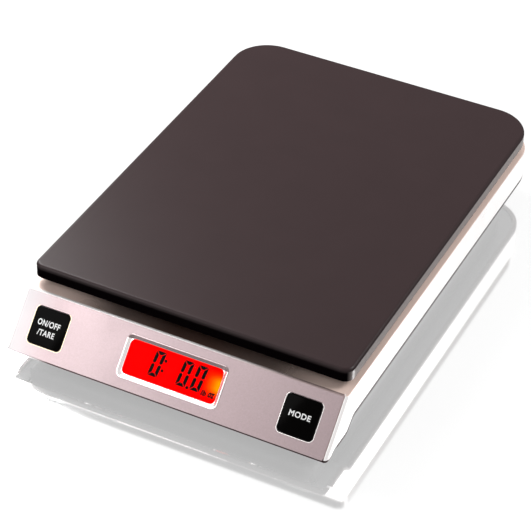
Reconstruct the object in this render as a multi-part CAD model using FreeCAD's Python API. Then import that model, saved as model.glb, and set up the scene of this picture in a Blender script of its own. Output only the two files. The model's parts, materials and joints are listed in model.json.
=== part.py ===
import FreeCAD, Part

import math
import os

from FreeCAD import Placement, Rotation, Vector

# Digital kitchen scale: a thin moulded platform over a low housing with a sloped control panel.
# Millimetres, +Z up, +Y to the back, the panel faces -Y.
# The origin is on the table, under the middle of the housing.

# Housing shell, outside
housing_width = 168.0
housing_depth = 254.0
ledge_height = 32.6
skirt_height = 15.4
chin_height = 9.8
panel_run = 21.5
housing_wall = 2.2
panel_corner_radius = 1.6
ledge_edge_radius = 0.6
skirt_edge_radius = 0.8
side_step_length = 11.0
side_step_setback = 5.0
side_notch_width = 7.0
side_notch_rise = 1.3
side_notch_setback = 8.4

# Ledge round the platform
side_ledge = 1.5
rear_ledge = 1.5
front_ledge = 4.0

# Platform slab
platform_gap = 3.6
platform_height = 7.2
platform_skin = 2.6
platform_rim = 2.4
platform_rear_radius = 20.0
platform_front_radius = 5.0
platform_edge_radius = 1.8
platform_lip_chamfer = 0.4
platform_rib_thickness = 1.6
platform_rib_height = 2.4
platform_rib_pitch = 32.0
platform_boss_radius = 3.2
platform_travel = 0.5

# Platform carrier, the pressed steel plate under the slab
carrier_thickness = 1.5
carrier_margin = 9.0
carrier_corner_radius = 12.0
carrier_lip = 1.0
carrier_window_length = 52.0
carrier_window_width = 34.0
carrier_window_radius = 7.0
carrier_screw_x_share = 0.8
carrier_screw_y_shares = (-0.8, 0.0, 0.8)

# Load cell, the aluminium bar with two joined bores
cell_side = 12.7
cell_bore_radius = 4.9
cell_bore_spacing = 14.0
cell_slot_height = 3.0
cell_screw_inset = 5.0
cell_screw_spacing = 15.0
cell_screw_bore_gap = 13.0
cell_screw_radius = 2.0
cell_edge_chamfer = 0.4
gauge_length = 6.0
gauge_width = 5.0
gauge_thickness = 0.3

# Seats of the load cell
plinth_share = 0.26
base_plate_thickness = 2.0
base_plate_front_margin = 5.0
base_plate_rear_margin = 7.5
base_plate_width = 46.0
base_plate_radius = 5.0
lower_spacer_height = 1.8
spacer_margin = 4.5
stop_clearance = 0.1
deck_opening_margin = 4.0
deck_rim_thickness = 1.4
deck_rim_height = 1.8
deck_stop_radius = 4.0
deck_stop_clearance = 0.3

# Screws
m4_head_radius = 3.7
m4_head_height = 1.6
screw_shank_radius = 1.3
screw_head_radius = 2.6
screw_head_height = 1.6
screw_bite = 5.0
thread_clearance = 0.06
socket_share = 0.55
socket_depth_share = 0.6

# Base shell, the tray under the housing
base_floor_height = 4.0
base_wall = 2.2
base_recess = 1.2
base_rim_thickness = 2.0
base_fit = 0.4
belly_side_inset = 8.5
belly_rear_inset = 13.0
belly_rear_radius = 14.0
belly_front_radius = 5.0
belly_edge_radius = 2.5
belly_front_low = 7.0
belly_front_high = 4.6
belly_front_top = 10.6
base_screw_side_inset = 17.5
base_screw_front_inset = 55.0
base_screw_rear_inset = 49.0
base_boss_radius = 3.9
base_boss_top = 18.0
base_counterbore_height = 8.0
base_rib_height = 3.0
base_rib_thickness = 1.4
base_rib_front_insets = (43.0, 71.0)
base_rib_cell_gap = 6.0
base_rib_rear_inset = 21.0

# Housing inside
deck_rib_height = 4.0
deck_rib_thickness = 1.4
deck_rib_x_shares = (-0.62, -0.31, 0.31, 0.62)
deck_rib_front_insets = (67.0, 85.0)
deck_rib_rear_insets = (65.0, 39.0)
housing_boss_radius = 3.4

# Feet
foot_side_inset = 24.0
foot_end_inset = 29.0
foot_radius = 7.2
foot_pocket_gap = 0.3
foot_pocket_depth = 1.4
foot_pad_margin = 2.0
foot_edge_radius = 0.8
foot_taper = 0.9

# Control panel, in the sloped plane: x across, v up the slope, n out of it
fascia_side_margin = 1.8
fascia_lip = 0.3
fascia_thickness = 0.8
fascia_recess = 0.6
fascia_corner_radius = 0.8
fascia_chamfer = 0.35
panel_centre_v = 15.7
panel_fit = 0.3

# Display
display_centre_rise = 0.4
display_width = 48.7
display_height = 17.0
bezel_width = 52.5
bezel_height = 21.2
bezel_radius = 3.0
bezel_bead = 0.35
bezel_overlap = 0.7
bezel_rim = 0.5
bezel_inner_radius = 1.4
bezel_bevel_depth = 0.55
bezel_lip = 0.3
bezel_depth = 2.8
window_margin = 0.7
window_thickness = 1.5
glass_width = 52.0
glass_height = 19.6
glass_sheet = 1.1
glass_contact_ledge = 1.8
light_guide_thickness = 2.4
light_guide_width = 50.0
light_guide_height = 17.4
lamp_length = 3.0
lamp_width = 6.0
holder_wall = 1.0
holder_gap = 0.2
strip_width = 1.3

# Circuit board
board_depth = 8.0
board_thickness = 1.6
board_side_inset = 12.0
board_low_v = 6.6
board_high_v = 27.0
board_corner_radius = 1.5
board_screw_x_share = 0.61
board_screw_vs = (10.5, 23.0)
board_boss_radius = 2.6
chip_side = 10.0
chip_thickness = 1.4
connector_length = 7.0
connector_width = 5.0
connector_thickness = 3.2
connector_v = 17.0
load_connector_x = -14.0
battery_connector_x = -42.0
small_chip_x_shares = (0.22, 0.35, 0.47, 0.79)
chip_x = 4.0
small_chip_length = 4.6
small_chip_width = 3.4
small_chip_thickness = 1.2

# Buttons
button_inset = 16.8
button_width = 17.8
button_height = 18.2
button_radius = 2.1
button_gap = 0.3
button_rise = 0.9
button_dome = 0.35
button_edge_radius = 0.5
button_cap_wall = 1.4
button_flange = 0.9
button_flange_margin = 0.9
button_flange_gap = 0.3
button_travel = 0.6
stem_radius = 2.6
switch_side = 6.0
switch_height = 3.4
switch_pad_height = 0.4
plunger_radius = 1.7
plunger_rise = 0.8
plunger_depth = 1.6
running_gap = 0.05

# Battery bay
cell_body_length = 43.3
cell_body_radius = 5.15
cell_nub_length = 1.2
cell_nub_radius = 1.9
cell_edge_radius = 0.5
cell_gap = 0.7
bay_place_share = 0.516
bay_wall = 1.6
bay_roof_gap = 0.5
contact_thickness = 0.4
contact_width = 8.0
contact_tab_rise = 2.6
spring_wire_radius = 0.3
spring_large_radius = 3.0
spring_small_radius = 2.0
spring_turns = 3
spring_room = 7.9
cradle_thickness = 1.6
cradle_height = 2.6

# Battery door
door_thickness = 1.6
door_margin = 2.2
door_gap = 0.3
door_ledge = 1.6
door_corner_radius = 1.5
tongue_xs = (-15.0, 15.0)
tongue_width = 8.0
tongue_reach = 2.6
tongue_thickness = 1.1
tongue_lift = 0.3
tongue_window_gap = 0.6
grip_rib_count = 5
grip_rib_pitch = 2.0
grip_rib_height = 0.4
grip_rib_width = 12.0
grip_rib_thickness = 0.8
latch_width = 9.0
latch_height = 3.2
latch_thickness = 1.4

# Leads, with routes chosen by hand: steps away from where each starts, then steps from where it ends
lead_radius = 1.1
arc_share = 0.45
load_lead_start_steps = (
    (0.0, 0.0, 0.0), (-7.65, 0.0, 0.0), (-15.65, -10.0, -1.4), (-17.65, -34.0, -2.8), (-18.65, -60.0, -3.4))
load_lead_end_steps = (
    (-8.0, 35.2, 0.3), (-9.0, 15.2, 0.1), (-8.5, 4.2, 0.0), (-5.5, 0.0, 0.0), (0.0, 0.0, 0.0))
battery_lead_start_steps = (
    (0.0, 0.0, 0.0), (-6.4, 0.0, 0.0), (-12.4, -9.5, -1.6), (-14.4, -33.5, -3.8), (-15.4, -59.5, -4.6))
battery_lead_end_steps = (
    (-3.5, 97.2, 0.7), (-2.5, 69.2, 0.5), (0.5, 43.2, 0.3), (4.0, 19.2, 0.1), (7.0, 5.2, 0.0),
    (5.5, 0.0, 0.0), (0.0, 0.0, 0.0))

# One overrun for all cuts
overrun = 2.0

# Places worked out from the sizes above
front_y = -housing_depth / 2
rear_y = housing_depth / 2
housing_half = housing_width / 2
panel_drop = ledge_height - chin_height
panel_angle = math.atan2(panel_drop, panel_run)
panel_length = math.hypot(panel_run, panel_drop)
ceiling = ledge_height - housing_wall
platform_half = housing_half - side_ledge
platform_front_y = front_y + panel_run + front_ledge
platform_rear_y = rear_y - rear_ledge
platform_middle_y = (platform_front_y + platform_rear_y) / 2
platform_low = ledge_height + platform_gap
platform_high = platform_low + platform_height
platform_ceiling = platform_high - platform_skin
housing_rear_radius = platform_rear_radius + rear_ledge
stop_gap = platform_travel + stop_clearance
deck_stop_gap = platform_travel + deck_stop_clearance
carrier_high = platform_ceiling - platform_rib_height
carrier_low = carrier_high - carrier_thickness
step_rear_y = platform_front_y + side_step_setback
step_front_y = step_rear_y - side_step_length
base_top_of_floor = base_floor_height + base_wall
cell_stack = base_plate_thickness + lower_spacer_height + cell_side
plinth_top = base_top_of_floor + (ceiling - base_top_of_floor - cell_stack) * plinth_share
base_plate_top = plinth_top + base_plate_thickness
cell_low = base_plate_top + lower_spacer_height
cell_high = cell_low + cell_side
cell_length = cell_bore_spacing + 2 * (cell_screw_bore_gap + cell_screw_spacing + cell_screw_inset)
spacer_length = cell_screw_spacing + 2 * spacer_margin
cell_front_y = platform_middle_y - cell_length / 2
cell_rear_y = platform_middle_y + cell_length / 2
fixed_screw_ys = (cell_front_y + cell_screw_inset, cell_front_y + cell_screw_inset + cell_screw_spacing)
free_screw_ys = (cell_rear_y - cell_screw_inset, cell_rear_y - cell_screw_inset - cell_screw_spacing)
free_spacer_y = sum(free_screw_ys) / len(free_screw_ys)
fixed_spacer_y = sum(fixed_screw_ys) / len(fixed_screw_ys)
stop_screw_y = platform_middle_y + cell_bore_spacing
base_plate_front_y = fixed_spacer_y - spacer_length / 2 - base_plate_front_margin
base_plate_rear_y = stop_screw_y + base_plate_rear_margin
base_plate_length = base_plate_rear_y - base_plate_front_y
base_plate_middle_y = (base_plate_front_y + base_plate_rear_y) / 2
belly_half = housing_half - belly_side_inset
belly_rear_y = rear_y - belly_rear_inset
bay_centre_y = cell_rear_y + (belly_rear_y - cell_rear_y) * bay_place_share
fascia_half_width = housing_half - fascia_side_margin
fascia_top = fascia_thickness - fascia_recess
bezel_rise = fascia_top + bezel_bead
display_centre_v = panel_centre_v + display_centre_rise
button_x = fascia_half_width - button_inset
board_half_width = housing_half - board_side_inset
board_screw_xs = (-board_half_width * board_screw_x_share, board_half_width * board_screw_x_share)
small_chip_xs = [board_half_width * share for share in small_chip_x_shares]
foot_x = housing_half - foot_side_inset
foot_y = rear_y - foot_end_inset
base_screw_x = housing_half - base_screw_side_inset
base_screw_front_y = front_y + base_screw_front_inset
base_screw_rear_y = rear_y - base_screw_rear_inset
base_screw_ys = (base_screw_front_y, (base_screw_front_y + base_screw_rear_y) / 2, base_screw_rear_y)
base_rib_ys = [front_y + inset for inset in base_rib_front_insets]
base_rib_ys += [cell_rear_y + base_rib_cell_gap, rear_y - base_rib_rear_inset]
deck_rib_xs = [housing_half * share for share in deck_rib_x_shares]
deck_rib_ys = [front_y + inset for inset in deck_rib_front_insets]
deck_rib_ys += [rear_y - inset for inset in deck_rib_rear_insets]
belly_front_low_y = front_y + belly_front_low
belly_front_high_y = front_y + belly_front_high
glass_face = -bezel_depth
glass_back = glass_face - 2 * glass_sheet
door_low = base_floor_height
door_high = door_low + door_thickness
door_seat = door_high + door_gap
door_bed_top = door_seat + door_ledge
cell_axis_height = door_high + door_gap + cell_body_radius
cell_pitch = 2 * cell_body_radius + cell_gap
bay_half_width = cell_body_radius + cell_pitch / 2 + cell_gap / 2
bay_roof = cell_axis_height + cell_body_radius + bay_roof_gap
bay_half_length = (cell_body_length + cell_nub_length + spring_room) / 2 + contact_thickness
door_half_length = bay_half_length + door_margin
door_front_y = bay_centre_y - bay_half_width - door_margin
door_rear_y = bay_centre_y + bay_half_width + door_margin
door_pivot_radius = door_thickness / 2
door_pivot = Vector(0, door_front_y + door_pivot_radius, door_low + door_pivot_radius)
switch_top = -board_depth + switch_height
plunger_top = switch_top + plunger_rise

panel_place = Placement(Vector(0, front_y, chin_height), Rotation(Vector(1, 0, 0), math.degrees(panel_angle)))


# Shared shape helpers

def on_panel(shape):
    """Carry a shape from the panel's own plane to its place on the slope."""
    placed = shape.copy()
    placed.Placement = panel_place.multiply(placed.Placement)
    return placed


def moved(shape, x, y, z):
    """Copy a shape to a new place."""
    placed = shape.copy()
    placed.translate(Vector(x, y, z))
    return placed


def corner_arc(x, y, z, radius, start_degrees):
    """Quarter circle that turns counter-clockwise from its start angle."""
    start = math.radians(start_degrees)
    circle = Part.Circle(Vector(x, y, z), Vector(0, 0, 1), radius)
    return Part.ArcOfCircle(circle, start, start + math.pi / 2).toShape()


def rounded_wire(half_width, low_y, high_y, low_radius, high_radius, z=0):
    """Closed outline, symmetric in x, with its own radius at the low and the high corners."""
    arcs = [
        corner_arc(half_width - low_radius, low_y + low_radius, z, low_radius, -90),
        corner_arc(half_width - high_radius, high_y - high_radius, z, high_radius, 0),
        corner_arc(high_radius - half_width, high_y - high_radius, z, high_radius, 90),
        corner_arc(low_radius - half_width, low_y + low_radius, z, low_radius, 180),
    ]
    edges = []
    for index, arc in enumerate(arcs):
        following = arcs[(index + 1) % len(arcs)]
        edges.append(arc)
        end = arc.lastVertex(True).Point
        start = following.firstVertex(True).Point
        if not start.isEqual(end, running_gap / 2):
            edges.append(Part.makeLine(end, start))
    return Part.Wire(edges)


def rounded_slab(half_width, low_y, high_y, low_radius, high_radius, low_z, high_z):
    """Upright slab over a rounded outline."""
    wire = rounded_wire(half_width, low_y, high_y, low_radius, high_radius, low_z)
    return Part.Face(wire).extrude(Vector(0, 0, high_z - low_z))


def slab(width, depth, radius, low_z, high_z, x=0, y=0):
    """Upright slab with four equal corners, centred at x and y."""
    body = rounded_slab(width / 2, -depth / 2, depth / 2, radius, radius, low_z, high_z)
    return moved(body, x, y, 0)


def block(low, high):
    """Plain block between two opposite corners."""
    size = [b - a for a, b in zip(low, high)]
    return Part.makeBox(size[0], size[1], size[2], Vector(*low))


def post(radius, low_z, high_z, x=0, y=0):
    """Upright cylinder."""
    return Part.makeCylinder(radius, high_z - low_z, Vector(x, y, low_z))


def across(face_edges, half_width):
    """Prism along X, symmetric about the middle plane, from edges in the side view."""
    wire = Part.Wire(face_edges)
    face = Part.Face(wire)
    face.translate(Vector(-half_width, 0, 0))
    return face.extrude(Vector(2 * half_width, 0, 0))


def side_lines(points):
    """Straight edges in the side view through (y, z) points."""
    corners = [Vector(0, y, z) for y, z in points]
    return [Part.makeLine(a, b) for a, b in zip(corners, corners[1:])]


def side_step(rise):
    """S-shaped step in the side view, rear end first, made of two equal arcs."""
    drop = skirt_height - chin_height
    half_angle = math.atan2(drop, side_step_length)
    radius = side_step_length / (2 * math.sin(2 * half_angle))
    rear = Vector(0, step_rear_y, skirt_height + rise)
    front = Vector(0, step_front_y, chin_height + rise)
    middle = (rear + front) / 2
    quarter = Vector(0, radius * math.sin(half_angle), radius * (1 - math.cos(half_angle)))
    first = Part.Arc(rear, rear - quarter, middle).toShape()
    second = Part.Arc(middle, front + quarter, front).toShape()
    return [first, second]


def cut_all(shape, tools):
    """Cut a list of tools from a shape."""
    return shape.cut(Part.makeCompound(list(tools)))


def fuse_all(shapes):
    """Fuse a list of shapes and drop the seams."""
    shapes = list(shapes)
    body = shapes[0]
    if len(shapes) > 1:
        body = body.fuse(shapes[1:])
    return body.removeSplitter()


def edges_where(shape, test):
    """Edges whose two ends and middle all pass a test."""
    chosen = []
    for edge in shape.Edges:
        points = [edge.valueAt(edge.FirstParameter), edge.valueAt(edge.LastParameter)]
        points.append(edge.valueAt((edge.FirstParameter + edge.LastParameter) / 2))
        if all(test(point) for point in points):
            chosen.append(edge)
    return chosen


def near(value, target):
    """Whether two lengths are the same place."""
    return math.isclose(value, target, rel_tol=0, abs_tol=running_gap / 2)


# Housing

def housing_form(inset, low_overrun):
    """Solid outer form of the housing, or the form of its hollow when inset."""
    slant = inset / math.sin(panel_angle)
    low_z = chin_height - low_overrun
    high_z = ledge_height - inset
    run_per_rise = panel_run / panel_drop
    low_front = (front_y + slant + (low_z - chin_height) * run_per_rise, low_z)
    high_front = (front_y + slant + (high_z - chin_height) * run_per_rise, high_z)
    high_rear = (rear_y - inset, high_z)
    if low_overrun:
        outline = side_lines([low_front, high_front, high_rear, (rear_y - inset, low_z), low_front])
    else:
        outline = side_lines([
            low_front, high_front, high_rear, (rear_y, skirt_height), (step_rear_y, skirt_height)])
        outline += side_step(0)
        outline += side_lines([(step_front_y, chin_height), low_front])
    form = across(outline, housing_half - inset)
    corner = max(platform_front_radius - inset, housing_wall)
    plan = rounded_slab(
        housing_half - inset, low_front[0] - 2 * corner, rear_y - inset,
        corner, housing_rear_radius - inset, low_z - overrun, high_z + overrun)
    return form.common(plan)


def housing_shell():
    """Shell of the housing with its rounded edges, before any opening."""
    form = cut_all(housing_form(0, 0), side_notches())
    slope_corners = edges_where(
        form, lambda p: near(abs(p.x), housing_half) and near(panel_height_at(p.y), p.z))
    form = form.makeFillet(panel_corner_radius, slope_corners)
    rim = edges_where(
        form, lambda p: near(p.z, ledge_height) and p.y > front_y + panel_run + panel_corner_radius)
    form = form.makeFillet(ledge_edge_radius, rim)
    skirt = edges_where(
        form, lambda p: near(abs(p.x), housing_half) and p.z < ledge_height / 2 and p.y > notch_front_y())
    form = form.makeFillet(skirt_edge_radius, skirt)
    return form.cut(housing_form(housing_wall, overrun))


def panel_height_at(y):
    """Height of the sloped panel over a place y."""
    return chin_height + (y - front_y) * panel_drop / panel_run


def housing_ribs():
    """Stiffening ribs under the deck."""
    low_z = ceiling - deck_rib_height
    half = deck_rib_thickness / 2
    reach_x = housing_half - housing_wall
    ribs = []
    for x in deck_rib_xs:
        ribs.append(block((x - half, min(deck_rib_ys), low_z), (x + half, max(deck_rib_ys), ceiling)))
    for y in deck_rib_ys:
        ribs.append(block((-reach_x, y - half, low_z), (reach_x, y + half, ceiling)))
    return ribs


def housing_bosses():
    """Bosses for the base screws, under the deck."""
    for x in (-base_screw_x, base_screw_x):
        for y in base_screw_ys:
            yield post(housing_boss_radius, base_boss_top, ceiling, x, y)


def housing_pilot_holes():
    """Pilot holes in those bosses."""
    radius = screw_shank_radius + thread_clearance
    for x in (-base_screw_x, base_screw_x):
        for y in base_screw_ys:
            yield post(radius, base_boss_top - overrun, base_boss_top + 2 * screw_bite, x, y)


def board_bosses():
    """Bosses behind the panel that carry the circuit board."""
    for x in board_screw_xs:
        for v in board_screw_vs:
            yield on_panel(post(board_boss_radius, -board_depth, -housing_wall, x, v))


def board_pilot_holes():
    """Pilot holes for the board's screws."""
    radius = screw_shank_radius + thread_clearance
    for x in board_screw_xs:
        for v in board_screw_vs:
            yield on_panel(post(radius, -board_depth - overrun, -board_depth + screw_bite, x, v))


def panel_openings(button_fit, bezel_fit, low_n, high_n):
    """Tools for the two button holes and the display hole, in the panel's plane."""
    grown = 2 * button_fit
    tools = [slab(button_width + grown, button_height + grown, button_radius + button_fit,
                  low_n, high_n, x, panel_centre_v) for x in (-button_x, button_x)]
    margin = bezel_fit - bezel_overlap
    tools.append(display_slab(bezel_width + 2 * margin, bezel_height + 2 * margin,
                              bezel_radius + margin, low_n, high_n))
    return tools


def slope_place(z, depth):
    """Side-view point at a height, on the plane a depth under the sloped face."""
    return front_y + (z - chin_height) * panel_run / panel_drop + depth / math.sin(panel_angle), z


def slope_sheet(half_width, low_z, high_z, low_depth, high_depth):
    """Sheet along the slope with level ends, between two depths under the sloped face."""
    corners = [slope_place(low_z, low_depth), slope_place(high_z, low_depth),
               slope_place(high_z, high_depth), slope_place(low_z, high_depth)]
    return across(side_lines(corners + corners[:1]), half_width)


def fascia_recess_tool():
    """Shallow seat of the fascia in the sloped face, over a thin lip and open at the ledge."""
    return slope_sheet(fascia_half_width + running_gap, chin_height + fascia_lip - running_gap,
                       ledge_height + overrun, fascia_recess, -overrun)


def notch_front_y():
    """Where the arches of the side walls begin, behind the front corner."""
    return front_y + side_notch_setback - side_notch_width / 2 - running_gap


def side_notches():
    """Shallow arch in the lower edge of both side walls, near the front corner."""
    radius = ((side_notch_width / 2) ** 2 + side_notch_rise ** 2) / (2 * side_notch_rise)
    y = front_y + side_notch_setback
    z = chin_height + side_notch_rise - radius
    length = housing_wall + overrun
    tools = []
    for x in (-housing_half - overrun / 2, housing_half - housing_wall - overrun / 2):
        tools.append(Part.makeCylinder(radius, length, Vector(x, y, z), Vector(1, 0, 0)))
    return tools


def deck_opening(margin, low_z, high_z):
    """Rounded block round the upper spacer, for the deck's opening and its rim."""
    width = cell_side + 2 * margin
    length = spacer_length + 2 * margin
    return slab(width, length, margin, low_z, high_z, 0, free_spacer_y)


def deck_stops():
    """Overload stops on the deck, under the carrier's corners."""
    top = carrier_low - carrier_lip - deck_stop_gap
    for x in carrier_screw_xs():
        for share in (min(carrier_screw_y_shares), max(carrier_screw_y_shares)):
            inward = 2 * deck_stop_radius * math.copysign(1, -share)
            y = platform_middle_y + share * carrier_half_length() + inward
            yield post(deck_stop_radius, ceiling, top, x, y)


def top_housing():
    rim_margin = deck_opening_margin + deck_rim_thickness
    parts = [housing_shell(), deck_opening(rim_margin, ceiling, ledge_height + deck_rim_height)]
    parts += housing_ribs()
    parts += housing_bosses()
    parts += board_bosses()
    parts += deck_stops()
    body = fuse_all(parts)
    cuts = [deck_opening(deck_opening_margin, ceiling - deck_rib_height - overrun, platform_low + overrun)]
    cuts += housing_pilot_holes()
    cuts += board_pilot_holes()
    cuts += [on_panel(tool) for tool in panel_openings(
        button_gap, panel_fit / 2, -housing_wall - overrun, overrun)]
    cuts.append(fascia_recess_tool())
    return cut_all(body, cuts)


def control_panel_fascia():
    low_z = chin_height + fascia_lip
    sheet = slope_sheet(fascia_half_width, low_z, ledge_height, fascia_recess, -fascia_top)
    ends = (low_z, ledge_height)
    corners = edges_where(
        sheet, lambda p: near(abs(p.x), fascia_half_width) and any(near(p.z, end) for end in ends))
    sheet = sheet.makeFillet(fascia_corner_radius, corners)
    openings = [on_panel(tool) for tool in panel_openings(button_gap, panel_fit / 2, -overrun, overrun)]
    sheet = cut_all(sheet, openings)
    rim = edges_where(sheet, lambda p: near(p.y, slope_place(p.z, -fascia_top)[0]))
    return sheet.makeChamfer(fascia_chamfer, rim)


# Platform

def platform_plan(inset, low_z, high_z):
    """Slab over the platform's outline, drawn in by an inset."""
    front = max(platform_front_radius - inset, platform_lip_chamfer)
    return rounded_slab(
        platform_half - inset, platform_front_y + inset, platform_rear_y - inset,
        front, platform_rear_radius - inset, low_z, high_z)


def carrier_half_length():
    return (platform_rear_y - platform_front_y) / 2 - platform_rim - carrier_margin


def carrier_half_width():
    return platform_half - platform_rim - carrier_margin


def carrier_screw_xs():
    reach = carrier_half_width() * carrier_screw_x_share
    return (-reach, reach)


def carrier_screw_places():
    """Places of the screws that hold the carrier to the slab."""
    for x in carrier_screw_xs():
        for share in carrier_screw_y_shares:
            yield x, platform_middle_y + share * carrier_half_length()


def platform_ribs():
    """Grid of ribs under the slab's skin."""
    half = platform_rib_thickness / 2
    reach_x = platform_half - platform_rim
    reach_y = (platform_rear_y - platform_front_y) / 2 - platform_rim
    ribs = []
    row = platform_rib_pitch / 2
    while row < reach_y - platform_rib_pitch / 2:
        for y in (platform_middle_y - row, platform_middle_y + row):
            ribs.append(block((-reach_x, y - half, carrier_high), (reach_x, y + half, platform_ceiling)))
        row += platform_rib_pitch
    column = platform_rib_pitch
    while column < reach_x:
        for x in (-column, column):
            low = (x - half, platform_middle_y - reach_y, carrier_high)
            ribs.append(block(low, (x + half, platform_middle_y + reach_y, platform_ceiling)))
        column += platform_rib_pitch
    return ribs


def platform_cover():
    slab_form = platform_plan(0, platform_low, platform_high)
    top_edges = edges_where(slab_form, lambda p: near(p.z, platform_high))
    slab_form = slab_form.makeFillet(platform_edge_radius, top_edges)
    slab_form = slab_form.makeChamfer(
        platform_lip_chamfer, edges_where(slab_form, lambda p: near(p.z, platform_low)))
    body = slab_form.cut(platform_plan(platform_rim, platform_low - overrun, platform_ceiling))
    bosses = [post(platform_boss_radius, carrier_high, platform_ceiling, x, y)
              for x, y in carrier_screw_places()]
    body = fuse_all([body] + platform_ribs() + bosses)
    radius = screw_shank_radius + thread_clearance
    depth = screw_bite * socket_depth_share
    cuts = [post(radius, carrier_high - overrun, carrier_high + depth, x, y)
            for x, y in carrier_screw_places()]
    head_room = carrier_high + m4_head_height + panel_fit
    cuts += [post(m4_head_radius + panel_fit, carrier_high - overrun, head_room, 0, y) for y in free_screw_ys]
    return cut_all(body, cuts)


def platform_carrier():
    half_x = carrier_half_width()
    half_y = carrier_half_length()
    plate = rounded_slab(half_x, -half_y, half_y, carrier_corner_radius, carrier_corner_radius,
                         carrier_low - carrier_lip, carrier_high)
    inner = carrier_corner_radius - carrier_thickness
    dish = rounded_slab(half_x - carrier_thickness, carrier_thickness - half_y, half_y - carrier_thickness,
                        inner, inner, carrier_low - overrun, carrier_low)
    body = plate.cut(dish)
    windows = []
    for x in (-half_x / 2, half_x / 2):
        for y in (-half_y / 2, half_y / 2):
            windows.append(slab(carrier_window_width, carrier_window_length, carrier_window_radius,
                                carrier_low - overrun, carrier_high + overrun, x, y))
    body = moved(cut_all(body, windows), 0, platform_middle_y, 0)
    small = screw_shank_radius + running_gap
    large = cell_screw_radius + running_gap
    holes = [post(small, carrier_low - overrun, carrier_high + overrun, x, y)
             for x, y in carrier_screw_places()]
    holes += [post(large, carrier_low - overrun, carrier_high + overrun, 0, y) for y in free_screw_ys]
    return cut_all(body, holes)


def screw(shank_radius, shank_length, head_radius, head_height, x, y, seat_z, upward):
    """Pan-head screw whose head rests on a seat, with its shank upward or downward."""
    head = post(head_radius, -head_height, 0)
    head = head.makeFillet(head_height / 2, edges_where(head, lambda p: near(p.z, -head_height)))
    socket = post(head_radius * socket_share, -head_height - overrun, -head_height * socket_depth_share)
    body = head.cut(socket).fuse(post(shank_radius, 0, shank_length))
    if not upward:
        body.rotate(Vector(0, 0, 0), Vector(1, 0, 0), 180)
    return moved(body, x, y, seat_z)


def platform_screws():
    length = carrier_thickness + screw_bite * socket_depth_share - running_gap
    return Part.makeCompound([
        screw(screw_shank_radius, length, screw_head_radius, screw_head_height, x, y, carrier_low, True)
        for x, y in carrier_screw_places()])


# Load cell

def load_cell():
    half = cell_side / 2
    bar = block((-half, cell_front_y, cell_low), (half, cell_rear_y, cell_high))
    ends = edges_where(bar, lambda p: near(p.y, cell_front_y) or near(p.y, cell_rear_y))
    bar = bar.makeChamfer(cell_edge_chamfer, ends)
    middle_z = (cell_low + cell_high) / 2
    cuts = []
    for side in (-1, 1):
        y = platform_middle_y + side * cell_bore_spacing / 2
        cuts.append(Part.makeCylinder(cell_bore_radius, cell_side + 2 * overrun,
                                      Vector(-half - overrun, y, middle_z), Vector(1, 0, 0)))
    reach = cell_bore_spacing / 2
    cuts.append(block((-half - overrun, platform_middle_y - reach, middle_z - cell_slot_height / 2),
                      (half + overrun, platform_middle_y + reach, middle_z + cell_slot_height / 2)))
    radius = cell_screw_radius + thread_clearance
    for y in fixed_screw_ys + free_screw_ys:
        cuts.append(post(radius, cell_low - overrun, cell_high + overrun, 0, y))
    return cut_all(bar, cuts)


def strain_gauges():
    patches = []
    for y in (-cell_bore_spacing / 2, cell_bore_spacing / 2):
        for low_z in (cell_high, cell_low - gauge_thickness):
            patches.append(slab(gauge_width, gauge_length, gauge_thickness, low_z, low_z + gauge_thickness,
                                0, platform_middle_y + y))
    return Part.makeCompound(patches)


def spacer(low_z, high_z, y, screw_ys):
    """Seat block between the bar and what it carries or rests on."""
    body = slab(cell_side, spacer_length, cell_edge_chamfer, low_z, high_z, 0, y)
    radius = cell_screw_radius + running_gap
    return cut_all(body, [post(radius, low_z - overrun, high_z + overrun, 0, hole_y) for hole_y in screw_ys])


def load_cell_upper_spacer():
    return spacer(cell_high, carrier_low, free_spacer_y, free_screw_ys)


def load_cell_lower_spacer():
    return spacer(base_plate_top, cell_low, fixed_spacer_y, fixed_screw_ys)


def load_cell_upper_screws():
    length = carrier_high - cell_high + cell_side / 2
    return Part.makeCompound([
        screw(cell_screw_radius, length, m4_head_radius, m4_head_height, 0, y, carrier_high, False)
        for y in free_screw_ys])


def load_cell_lower_screws():
    seat = (base_floor_height + plinth_top) / 2
    length = cell_low - seat + cell_side / 2
    return Part.makeCompound([
        screw(cell_screw_radius, length, m4_head_radius, m4_head_height, 0, y, seat, True)
        for y in fixed_screw_ys])


def base_reinforcing_plate():
    body = slab(base_plate_width, base_plate_length, base_plate_radius, plinth_top, base_plate_top,
                0, base_plate_middle_y)
    radius = cell_screw_radius + running_gap
    holes = [post(radius, plinth_top - overrun, base_plate_top + overrun, 0, y) for y in fixed_screw_ys]
    holes.append(post(radius, plinth_top - overrun, base_plate_top + overrun, 0, stop_screw_y))
    return cut_all(body, holes)


def overload_stop_screw():
    body = post(cell_screw_radius, plinth_top, cell_low - stop_gap, 0, stop_screw_y)
    slot = post(cell_screw_radius * socket_share, cell_low - stop_gap - screw_head_height / 2, cell_low,
                0, stop_screw_y)
    return body.cut(slot)


# Base shell

def belly(inset, low_z, open_top):
    """Deep part of the base tray, or its hollow when inset."""
    lean = (belly_front_high - belly_front_low) / (belly_front_top - base_floor_height)
    high_z = base_boss_top + (overrun if open_top else 0)
    front_low = belly_front_low_y + (low_z - base_floor_height) * lean + inset
    front_high = belly_front_high_y + inset
    rear = belly_rear_y - inset
    outline = side_lines([
        (front_low, low_z), (front_high, belly_front_top), (front_high, high_z),
        (rear, high_z), (rear, low_z), (front_low, low_z)])
    form = across(outline, belly_half - inset)
    front_radius = max(belly_front_radius - inset, base_wall)
    plan = rounded_slab(belly_half - inset, front_high, belly_rear_y - inset,
                        front_radius, belly_rear_radius - inset, low_z - overrun, high_z + overrun)
    return form.common(plan)


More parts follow.
